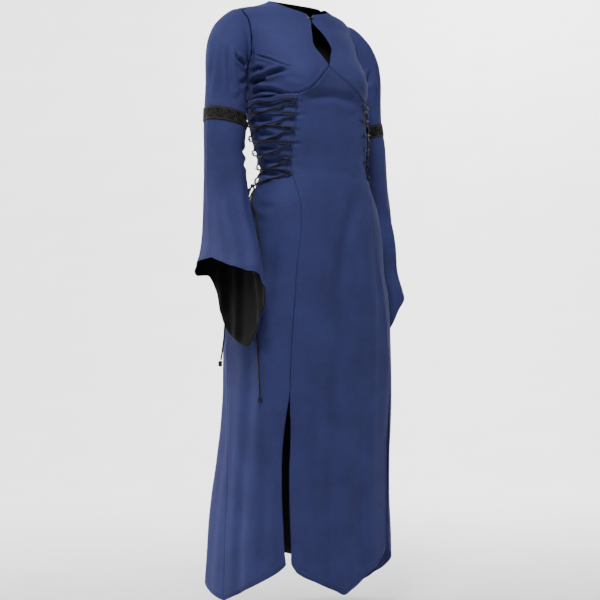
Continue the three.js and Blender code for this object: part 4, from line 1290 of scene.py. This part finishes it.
@dataclass
class Sleeve:
    """One sleeve: its set-in cap and upper part, woven band, flared lower part and lining."""

    side: Side
    sewing: Sewing
    columns: int = 120
    band_step: float = 24.0

    def __post_init__(self) -> None:
        """Fits the lines through the arm's sections and the cuff's edge."""
        rows = RIGHT_ARM if self.side is Side.RIGHT else LEFT_ARM
        self.x, self.y, self.wide, self.deep = (Curve(rows, column) for column in range(1, 5))
        self.edge = Curve(RIGHT_CUFF if self.side is Side.RIGHT else LEFT_CUFF, 1)
        self.around = np.arange(self.columns) * 360 / self.columns

    def point(self, around: Array, z: Array, lift: float = 0.0) -> Array:
        """Returns points of the sleeve's outer face, or at a height over it."""
        around, z = np.broadcast_arrays(np.asarray(around, float), np.asarray(z, float))
        cosine, sine = np.cos(np.radians(around)), np.sin(np.radians(around))
        lean = unit(np.stack([cosine / self.wide(z), sine / self.deep(z)], axis=-1))
        x = self.x(z) + self.wide(z) * cosine + lift * lean[..., 0]
        y = self.y(z) - self.deep(z) * sine - lift * lean[..., 1]
        return np.stack([self.side.value * x, y, z], axis=-1)

    @staticmethod
    def ring(ends: tuple[float, float], around: Array) -> Array:
        """Returns the heights of a ring that slopes from the outer to the inner side."""
        return mix(ends[0], ends[1], (1 - np.cos(np.radians(around))) / 2)

    def hole_ring(self) -> Array:
        """Returns the sleeve's first ring, just inside the armhole."""
        hole = FORM.armhole(self.around)
        angle, z = self.side.value * hole[:, 0], hole[:, 1]
        point, normal = FORM.point(angle, z), FORM.normal(angle, z)
        middle_y = (HOLE_TOP_Y + HOLE_BOTTOM_Y) / 2
        middle = (self.side.value * float(FORM.half(HOLE_Z)), middle_y, HOLE_Z)
        inward = np.array(middle) - point
        inward -= normal * (inward * normal).sum(axis=-1, keepdims=True)
        return point + unit(inward) * SEAM_GAP

    def cap_ring(self, row: Sequence[float]) -> Array:
        """Returns one of the cap's leaning rings."""
        inner_x, inner_z, outer_x, outer_z, y, deep = row
        up, front = np.cos(np.radians(self.around)), np.sin(np.radians(self.around))
        x = (inner_x + outer_x) / 2 + (outer_x - inner_x) / 2 * up
        z = (inner_z + outer_z) / 2 + (outer_z - inner_z) / 2 * up
        return np.stack([self.side.value * x, y - deep * front, z], axis=-1)

    def on_sleeve(self, folds: Sequence[Fold]) -> list[tuple[Fold, Array]]:
        """Returns folds with their lines over the sleeve."""
        return [(fold, self.point(*fine_path(fold.path, 6))) for fold in folds]

    def upper(self) -> None:
        """Builds the upper part, from the armhole to the seam under the band."""
        ends = (UPPER_ARM_RING, BAND_TOP, BAND_MIDDLE)
        lower = [self.point(self.around, self.ring(ring, self.around)) for ring in ends]
        lower[-1][:, 2] += SEAM_GAP / 2
        rings = np.stack([self.hole_ring(), *(self.cap_ring(row) for row in CAP), *lower])
        columns = [
            np.vstack([rings[:1, i], *self.between(rings[:, i])]) for i in range(self.columns)
        ]
        points = np.stack(columns, axis=1)
        Sheet(
            f"sleeve_upper_{self.side.label}", TWILL, points, is_tube=True,
            facing=-self.side.value, folds=self.on_sleeve(UPPER_SLEEVE_FOLDS[self.side]),
            dips=("top",), waves=Waves(seed=41 + self.side.value, depth=1.0),
        ).build(self.sewing)

    @staticmethod
    def between(points: Array) -> list[Array]:
        """Returns a smooth column's points after the first, seven to each ring."""
        u = np.linspace(0, 1, 8)[1:, None]
        return [
            bend(p1, p2, (p2 - p0) / 2, (p3 - p1) / 2, u) for p0, p1, p2, p3 in steps_of(points)
        ]

    def lower_rows(self, shares: Array, lift: float) -> Array:
        """Returns rows of the lower part, by the share from the band's edge to the cuff's."""
        top, edge = self.ring(BAND_BOTTOM, self.around), self.edge(self.around)
        return np.stack([self.point(self.around, mix(top, edge, t), lift) for t in shares])

    def lower(self) -> None:
        """Builds the lower part, from the seam under the band to the cuff's edge."""
        seam = self.ring(BAND_MIDDLE, self.around) - SEAM_GAP / 2
        start = self.point(self.around, seam)[None]
        shares = np.concatenate((np.linspace(0, 0.985, 84), [0.991, 0.996, 1.0]))
        points = np.concatenate([start, self.lower_rows(shares, 0.0)])
        self.hang(f"sleeve_lower_{self.side.label}", TWILL, points, stitches=(("bottom", 9.0),))

    def lining(self) -> None:
        """Builds the black lining that the cuff's mouth shows, partly painted shade inside the
        sleeve.
        """
        points = self.lower_rows(np.linspace(0.2, 0.997, 70), -(CLOTH + SEAM_GAP))
        self.hang(
            f"cuff_lining_{self.side.label}", POPLIN, points, thickness=LINING,
            rests_on=(f"sleeve_lower_{self.side.label}_cloth",),
        )

    def hang(self, node: str, finish: Cloth, points: Array, **more: object) -> None:
        """Builds a cloth of the lower part, with the creases that cloth and lining share."""
        Sheet(
            node, finish, points, is_tube=True, facing=-self.side.value,
            folds=self.on_sleeve(LOWER_SLEEVE_FOLDS[self.side]),
            waves=Waves(seed=51 + self.side.value, depth=1.1), **more,
        ).build(self.sewing)

    def band(self) -> None:
        """Builds the woven band: its ribbed ground and the bronze scrolls woven into it."""
        tops, lows = (self.ring(ring, self.around) for ring in (BAND_TOP, BAND_BOTTOM))
        lift = SEAM_GAP + 1.2
        shares = np.linspace(0, 1, 11)
        rows = [self.point(self.around, mix(tops, lows, t), lift) for t in shares]
        node = f"sleeve_band_{self.side.label}"
        Sheet(
            node, RIBBON, np.stack(rows), is_tube=True, facing=-self.side.value, thickness=1.0,
            held="stretched", rests_on=(f"sleeve_upper_{self.side.label}_cloth",), waves=None,
        ).build(self.sewing)
        length = arc(np.vstack([rows[5], rows[5][:1]]))[-1]
        repeats = round(length / self.band_step)
        strands = [self.scroll(k, repeats, turned) for k in range(repeats) for turned in (1, -1)]
        strands += [self.rail(share) for share in (0.07, 0.12, 0.88, 0.93)]
        strands += [self.leaf(k, repeats, up) for k in range(repeats) for up in (1, -1)]
        join_tubes(f"{node}_scrolls", [Tube(strand, 0.9, 5) for strand in strands], FLOAT)

    def build(self) -> None:
        """Builds every piece of the sleeve."""
        self.upper()
        self.lower()
        self.lining()
        self.band()

    def on_band(self, across: Array, down: Array) -> Array:
        """Returns points over the band, by degrees round it and the share down it."""
        z = mix(self.ring(BAND_TOP, across), self.ring(BAND_BOTTOM, across), down)
        return self.point(across, z, SEAM_GAP + 1.45)

    def scroll(self, k: int, repeats: int, turned: int) -> Array:
        """Returns one spiral of the vine."""
        u = np.linspace(0, 1, 22)
        radius = mix(0.36, 0.07, u)
        turn = 2 * pi * (1.35 * u) * turned + (pi / 2 if turned > 0 else -pi / 2)
        wide = 360 / repeats
        across = wide * (k + 0.5 + 0.25 * turned) + wide * 0.72 * radius * np.cos(turn)
        return self.on_band(across, 0.5 - 0.12 * turned + 0.78 * radius * np.sin(turn))

    def leaf(self, k: int, repeats: int, up: int) -> Array:
        """Returns a small pointed leaf between two spirals."""
        u = np.linspace(0, 1, 9)
        wide = 360 / repeats
        across = wide * (k + 0.02) + wide * 0.17 * np.sin(pi * u) * np.where(u < 0.5, 1, -1)
        return self.on_band(across, 0.5 + up * (0.16 + 0.17 * np.abs(1 - 2 * u)))

    def rail(self, share: float) -> Array:
        """Returns one of the lines along the band's edges."""
        return self.on_band(np.linspace(0, 360, 90), np.full(90, share))


# Where each strand lies: heights over the cloth, and the shape of loops, knots and bow.
LACE_APEX = (4.8, 5.6)
LOOP_SHAPE = ((-7, -3.8), (0.6, -3.8), (3.9, -1.6), (3.9, 1.6), (0.6, 3.9), (-7, -0.9))
TURN_SHARE, TURN_RISE, TURN_LIFT, TURN_ALONG, TURN_HALF = 0.14, 6.2, 4.2, 8.0, 4.5
LOW_LIFT, HIGH_LIFT = 3.4, 7.9
CROSSING_SHARES = (0.22, 0.36, 0.5, 0.64, 0.78)
KNOT_SHARE, KNOT_Z, KNOT_LIFT = 0.9, -447.0, 8.5
KNOT_WIDE, KNOT_HIGH, KNOT_ENTRY = 10.0, 11.0, 4.0
END_KNOT_WIDE, END_KNOT_HIGH = 11.0, 17.0
DEGREES_PER_MM = 0.45
BOW = (
    (-12, 22, 10.5), (-16, 42, 9.5), (-12, 60, 8.5), (-5.5, 54, 8.5), (-3.6, 32, 10.5),
    (-2.8, 15, 14), (1.6, 10.6, 15), (6, 16, 14), (7, 34, 10.5), (10, 50, 9.5), (15, 54, 8.5),
    (19, 42, 9.5), (15, 23, 10.5),
)
# y, z and height over the cloth along each hanging tail.
TAILS = {
    (Side.RIGHT, "back"): (
        (-27, -463, 4), (-20, -482, 3.4), (-11, -508, 3.3), (-3, -552, 3.2), (0, -610, 3.2),
        (0, -680, 3.2), (1, -735, 3.2), (2, -770, 4.5), (3, -800, 7), (3, -826, 11),
        (3, -848, 15),
    ),
    (Side.RIGHT, "front"): (
        (-37, -463, 5), (-43, -476, 4), (-55, -493, 3.4), (-74, -513, 3.4), (-88, -551, 3.4),
        (-99, -605, 3.4), (-109, -690, 3.4), (-113, -780, 3.6), (-117, -860, 4.5),
        (-121, -926, 6.2),
    ),
    (Side.LEFT, "back"): (
        (-24, -463, 4.4), (-12, -477, 3.6), (14, -504, 3.4), (42, -544, 3.4), (68, -600, 3.4),
        (76, -680, 3.4), (79, -790, 4), (80, -880, 6.2),
    ),
    (Side.LEFT, "front"): (
        (-34, -463, 5), (-29, -484, 3.8), (-2, -530, 3.4), (28, -582, 3.4), (48, -640, 3.4),
        (54, -700, 3.4), (56, -770, 4), (57, -830, 6.2),
    ),
}
TAIL_EXITS = {"back": (0.6, 0.65, -0.46), "front": (-0.25, 0.85, -0.34)}


@dataclass
class Lacing:
    """One side's loops, crossed lace, knot, bow and tails."""

    side: Side

    def over_side(self, share: float, z: float, lift: float) -> Array:
        """Returns a point over the laced side, from princess seam (0) to side seam (1)."""
        at = np.array([float(z)])
        angle = self.side.value * mix(FORM.princess(at)[0, 0], FORM.side_seam(at)[0, 0], share)
        return FORM.over(angle, float(z), lift)

    def loop_point(self, is_front: bool, z: float, forward: float, lift: float) -> Array:
        """Returns a point by a loop's seam: forward runs from the seam over the laced side."""
        at = np.array([float(z)])
        seam = (FORM.princess(at) if is_front else FORM.side_seam(at))[0, 0]
        angle, sign = self.side.value * seam, self.side.value
        run = unit(FORM.point(angle + sign, z) - FORM.point(angle - sign, z))
        run = run if is_front else -run
        return FORM.point(angle, z) + forward * run + lift * FORM.normal(angle, z)

    def loops(self) -> None:
        """Builds the rolled cloth loops on both seams."""
        tubes, nodes = [], []
        for is_front in (True, False):
            for pair in range(LACE_PAIRS):
                z = loop_z(is_front, pair)
                points = [
                    self.loop_point(is_front, z, LACE_APEX[0] + forward, LACE_APEX[1] + lift)
                    for forward, lift in LOOP_SHAPE
                ]
                tubes.append(Tube(ways(np.array(points), 0.7), LOOP_CORD, 8))
                row = "front" if is_front else "back"
                nodes.append(f"lace_loop_{self.side.label}_{row}_{pair + 1}")
        join_tubes(f"lace_loops_{self.side.label}_rolled", tubes, ROLLED, *nodes)

    def turn(self, is_front: bool, pair: int) -> list[Array]:
        """Returns the lace's points through one loop."""
        z = loop_z(is_front, pair)
        share = TURN_SHARE if is_front else 1 - TURN_SHARE
        lift = LACE_APEX[1]
        return [
            self.over_side(share, z + TURN_RISE, TURN_LIFT),
            self.loop_point(is_front, z + TURN_HALF, TURN_ALONG, lift),
            self.loop_point(is_front, z, LACE_APEX[0], lift),
            self.loop_point(is_front, z - TURN_HALF, TURN_ALONG, lift),
            self.over_side(share, z - TURN_RISE, TURN_LIFT),
        ]

    def crossing(self, start: float, end: float, from_front: bool, middle: float) -> list[Array]:
        """Returns the lace's points over the laced side between two loops."""
        return [
            self.over_side(
                share if from_front else 1 - share,
                mix(start, end, share),
                mix(TURN_LIFT, middle, sin(pi * share) ** 3),
            )
            for share in CROSSING_SHARES
        ]

    def knot_centre(self) -> Array:
        """Returns the middle of the knot."""
        return self.over_side(KNOT_SHARE, KNOT_Z, KNOT_LIFT)

    def lace(self, name: str, from_front: bool, middle: float) -> None:
        """Builds one half of the lace, from the top bar's middle down to the knot."""
        top = (FRONT_LOOP_Z + BACK_LOOP_Z) / 2 + TURN_RISE
        sign = -1 if from_front else 1
        route = [
            self.over_side(0.5 + sign * 0.004, top, LOW_LIFT),
            self.over_side(0.5 + sign * 0.2, top, TURN_LIFT),
        ]
        is_front = from_front
        for pair in range(LACE_PAIRS):
            route += self.turn(is_front, pair)
            if pair < LACE_PAIRS - 1:
                start = loop_z(is_front, pair) - TURN_RISE
                end = loop_z(not is_front, pair + 1) + TURN_RISE
                route += self.crossing(start, end, is_front, middle)
            is_front = not is_front
        if not is_front:
            start = loop_z(True, LACE_PAIRS - 1) - TURN_RISE
            route += self.crossing(start, KNOT_Z, True, TURN_LIFT)
        entry_z = KNOT_Z + (-KNOT_ENTRY if not is_front else KNOT_ENTRY)
        run = self.over_side(KNOT_SHARE, entry_z, KNOT_LIFT) - route[-1]
        reach = np.linalg.norm(run) - KNOT_HIGH / 2 - SEAM_GAP
        route.append(route[-1] + unit(run) * reach)
        line = ways(np.array(route), 1.6)
        piece = braided(f"lace_{self.side.label}_{name}", line)

    def knot_exit(self, aside: float, down: float, out: float) -> list[Array]:
        """Returns a cord's first two points, straight out of the knot."""
        at = np.array([KNOT_Z])
        angle = self.side.value * mix(FORM.princess(at)[0, 0], FORM.side_seam(at)[0, 0], KNOT_SHARE)
        normal = unit(FORM.normal(angle, KNOT_Z) * (1, 1, 0))
        back = unit(FORM.point(angle + self.side.value, KNOT_Z) - FORM.point(angle, KNOT_Z))
        run = back * aside + normal * out
        run = unit(np.array([run[0], run[1], -down]))
        across = np.hypot(run[0], run[1]) / (KNOT_WIDE / 2)
        reach = 1 / np.hypot(across, run[2] / (KNOT_HIGH / 2)) + SEAM_GAP
        return [self.knot_centre() + run * distance for distance in (reach, reach + LACE)]

    def bow(self) -> None:
        """Builds the bow's two hanging loops."""
        at = np.array([KNOT_Z])
        start = self.side.value * mix(FORM.princess(at)[0, 0], FORM.side_seam(at)[0, 0], KNOT_SHARE)
        points = [
            FORM.over(start + self.side.value * aside * DEGREES_PER_MM, KNOT_Z - down, lift)
            for aside, down, lift in BOW
        ]
        ends = self.knot_exit(0.65, 0.55, 0.52)[::-1]
        line = ways(np.array([*self.knot_exit(-0.5, 0.7, 0.5), *points, *ends]), 1.4)
        piece = braided(f"bow_{self.side.label}", line)

    def tail(self, name: str) -> None:
        """Builds one hanging tail with its end knot."""
        points = self.knot_exit(*TAIL_EXITS[name])
        for y, z, lift in TAILS[self.side, name]:
            at = np.array([float(z)])
            angle = self.side.value * float(FORM.side_angle(np.array([float(y)]), at)[0])
            points.append(FORM.over(angle, float(z), lift))
        line = ways(np.array(points), 2.4)
        run = unit(points[-1] - points[-2])
        piece = braided(f"tail_{self.side.label}_{name}", line)
        centre = points[-1] + run * (END_KNOT_HIGH / 2 + SEAM_GAP)
        node = f"end_knot_{self.side.label}_{name}"
        knot = wound_knot(node, centre, END_KNOT_WIDE, END_KNOT_HIGH, LACE * 0.9)

    def build(self) -> None:
        """Builds every piece of this side's lacing."""
        self.lace("under", True, LOW_LIFT)
        self.lace("over", False, HIGH_LIFT)
        node = f"lace_knot_{self.side.label}"
        wound_knot(node, self.knot_centre(), KNOT_WIDE, KNOT_HIGH, LACE * 0.85)
        self.bow()
        for name in TAIL_EXITS:
            self.tail(name)
        self.loops()


def braided(node: str, line: Array) -> bpy.types.Object:
    """Returns a lace's braid along its line, which stands for the node."""
    return join_tubes(f"{node}_cord", [Tube(line, LACE)], BRAID, node)


def wound_knot(
    node: str, centre: Array, wide: float, high: float, cord: float
) -> bpy.types.Object:
    """Builds a tied knot: a cord wound through itself, with a short end below.

    Args:
        node: The solid that it stands for.
        centre: The middle of the knot.
        wide: Its width.
        high: Its height.
        cord: The cord's diameter where it is pulled tight.

    Returns:
        The knot's piece.
    """
    t = np.linspace(0, 2 * pi, 90)
    x, y = np.sin(t) + 2 * np.sin(2 * t), np.cos(t) - 2 * np.cos(2 * t)
    wound = np.stack([x, y, -np.sin(3 * t) * 2.2], axis=-1)
    size = np.array([(wide - cord) / 6, (wide - cord) / 6, (high - cord) / 6])
    tight = wound * size
    core = np.array([(0, 0, z) for z in np.linspace(-high / 2 + cord / 2, high / 2 - cord / 2, 8)])
    tubes = [Tube(tight + centre, cord, 8), Tube(core + centre, cord * 0.9, 8)]
    return join_tubes(f"{node}_tied", tubes, BRAID, node)


HOOK_Z = -40.0
HOOK_WIRE = 1.0
# x across the front and height over it, along the wire of the hook.
HOOK = ((-9, 1), (-2, 1), (3.2, 1), (4.9, 2.6), (3.2, 4.2), (-0.5, 4.2))
# x, height above the hook and height over the front, along the thread of the eye.
EYE = (
    (9, 3.2, 0.9), (5, 3.4, 1.3), (2.6, 2, 2.6), (2, 0, 2.6), (2.6, -2, 2.6), (5, -3.4, 1.3),
    (9, -3.2, 0.9),
)


class NeckHook:
    """The bent wire hook and its thread eye, which close the neck above the keyhole."""

    @staticmethod
    def over_front(x: float, z: float, lift: float) -> Array:
        """Returns a point over the front by its x."""
        angle = FORM.front_angle(np.array([float(x)]), np.array([float(z)]))[0]
        return FORM.over(angle, float(z), lift)

    def build(self) -> None:
        """Builds the hook, sewn down by its two rings, and the eye."""
        wires = []
        for up in (-0.75, 0.75):
            points = np.array([self.over_front(x, HOOK_Z + up, lift) for x, lift in HOOK])
            wires.append(Tube(ways(points, 0.4), HOOK_WIRE * 0.7, 8))
            ring = [
                self.over_front(-9 + 1.8 * cos(turn), HOOK_Z + up * 2.6 + 1.8 * sin(turn), 0.9)
                for turn in np.linspace(0, 2 * pi, 17)
            ]
            wires.append(Tube(np.array(ring), HOOK_WIRE * 0.7, 8))
        join_tubes("neck_hook_wire", wires, STEEL, "neck_hook")
        points = np.array([self.over_front(x, HOOK_Z + up, lift) for x, up, lift in EYE])
        eye = Tube(ways(points, 0.4), HOOK_WIRE, 8)
        join_tubes("neck_eye_thread", [eye], ROLLED, "neck_eye")


@dataclass(frozen=True)
class Lamp:
    """A soft square studio lamp aimed at a point of the dress, in metres."""

    name: str
    place: tuple[float, float, float]
    target: tuple[float, float, float]
    size: float
    power: float

    def build(self) -> None:
        """Makes the lamp."""
        light = bpy.data.lights.new(self.name, "AREA")
        light.shape = "SQUARE"
        light.size = self.size
        light.energy = self.power
        lamp = bpy.data.objects.new(self.name, light)
        lamp.location = self.place
        way = Vector(self.target) - Vector(self.place)
        lamp.rotation_euler = way.to_track_quat("-Z", "Y").to_euler()
        bpy.context.scene.collection.objects.link(lamp)


LAMPS = (
    Lamp("key", (-1.15, -1.2, 1.85), (-0.05, -0.1, -0.05), 0.5, 70.0),
    Lamp("fill", (0.3, -3.2, 1.2), (0.0, 0.0, -0.1), 1.4, 8.0),
    Lamp("backdrop_left", (-1.5, 2.2, 1.2), (-0.2, 3.2, -0.2), 2.0, 190.0),
    Lamp("backdrop_right", (1.9, 0.6, 1.2), (3.0, 2.2, -0.4), 2.0, 190.0),
)


@dataclass
class Studio:
    """The camera, soft lamps and pale floor that rises into a backdrop."""

    azimuth: float = -37.0
    distance: float = 3.3
    height: float = -0.740
    aside: float = 0.0084
    pitch: float = 0.54
    lens: float = 82.5
    floor: float = -1.46
    floor_reach: float = 4.2
    floor_half: float = 5.0
    curve_start: float = 2.2
    curve_radius: float = 1.2
    wall_top: float = 5.2

    def camera(self) -> None:
        """Makes the camera, at the picture's own viewing angle."""
        data = bpy.data.cameras.new("camera")
        data.lens = self.lens
        data.sensor_width = 36.0
        camera = bpy.data.objects.new("camera", data)
        turn = radians(self.azimuth)
        away = Vector((sin(turn), -cos(turn), 0.0))
        right = Vector((cos(turn), sin(turn), 0.0))
        camera.location = away * self.distance + right * self.aside + Vector((0, 0, self.height))
        camera.rotation_euler = (radians(90.0 + self.pitch), 0.0, turn)
        bpy.context.scene.collection.objects.link(camera)
        bpy.context.scene.camera = camera

    def light(self) -> None:
        """Makes the lamps and the even pale surroundings."""
        world = bpy.data.worlds.new("studio")
        world.use_nodes = True
        background = world.node_tree.nodes["Background"]
        background.inputs["Color"].default_value = linear("#F4F5F7")
        background.inputs["Strength"].default_value = 0.22
        bpy.context.scene.world = world
        for lamp in LAMPS:
            lamp.build()

    def backdrop(self) -> None:
        """Makes the floor, which curves up into a backdrop on the far side."""
        turn = radians(self.azimuth)
        away = np.array([-sin(turn), cos(turn)])
        right = np.array([cos(turn), sin(turn)])
        start, radius = self.curve_start, self.curve_radius
        curve = [
            (start + radius * sin(a), radius - radius * cos(a)) for a in np.linspace(0, pi / 2, 16)
        ]
        profile = [(-self.floor_reach, 0.0), *curve, (start + radius, self.wall_top)]
        points = []
        for reach, rise in profile:
            for sign in (-1, 1):
                x, y = away * reach + right * sign * self.floor_half
                points.append((x, y, self.floor + rise))
        faces = [(2 * i, 2 * i + 1, 2 * i + 3, 2 * i + 2) for i in range(len(profile) - 1)]
        mesh = bpy.data.meshes.new("floor")
        mesh.from_pydata(points, [], faces)
        mesh.polygons.foreach_set("use_smooth", np.ones(len(mesh.polygons), bool))
        material, tree, shader = start_material("paper_backdrop_matt", {"Roughness": 0.9})
        grain = add_node(tree, "ShaderNodeTexNoise", {"Scale": 60.0, "Detail": 3.0})
        paper = blend_colours(tree, grain.outputs["Fac"], "#F3F3F4", "#F8F8F8")
        tree.links.new(paper, shader.inputs["Base Color"])
        mesh.materials.append(material)
        floor = bpy.data.objects.new("floor", mesh)
        bpy.context.scene.collection.objects.link(floor)


def main() -> None:
    """Builds the studio, the cords and then every cloth of the dress."""
    logging.basicConfig(level=logging.INFO, format="%(message)s")
    studio = Studio()
    studio.camera()
    for side in Side:
        Lacing(side).build()
    sewing = Sewing()
    BodyCloth(sewing).build()
    for side in Side:
        Sleeve(side, sewing).build()
    sewing.build()
    NeckHook().build()
    studio.light()
    studio.backdrop()


if __name__ == "__main__":
    main()
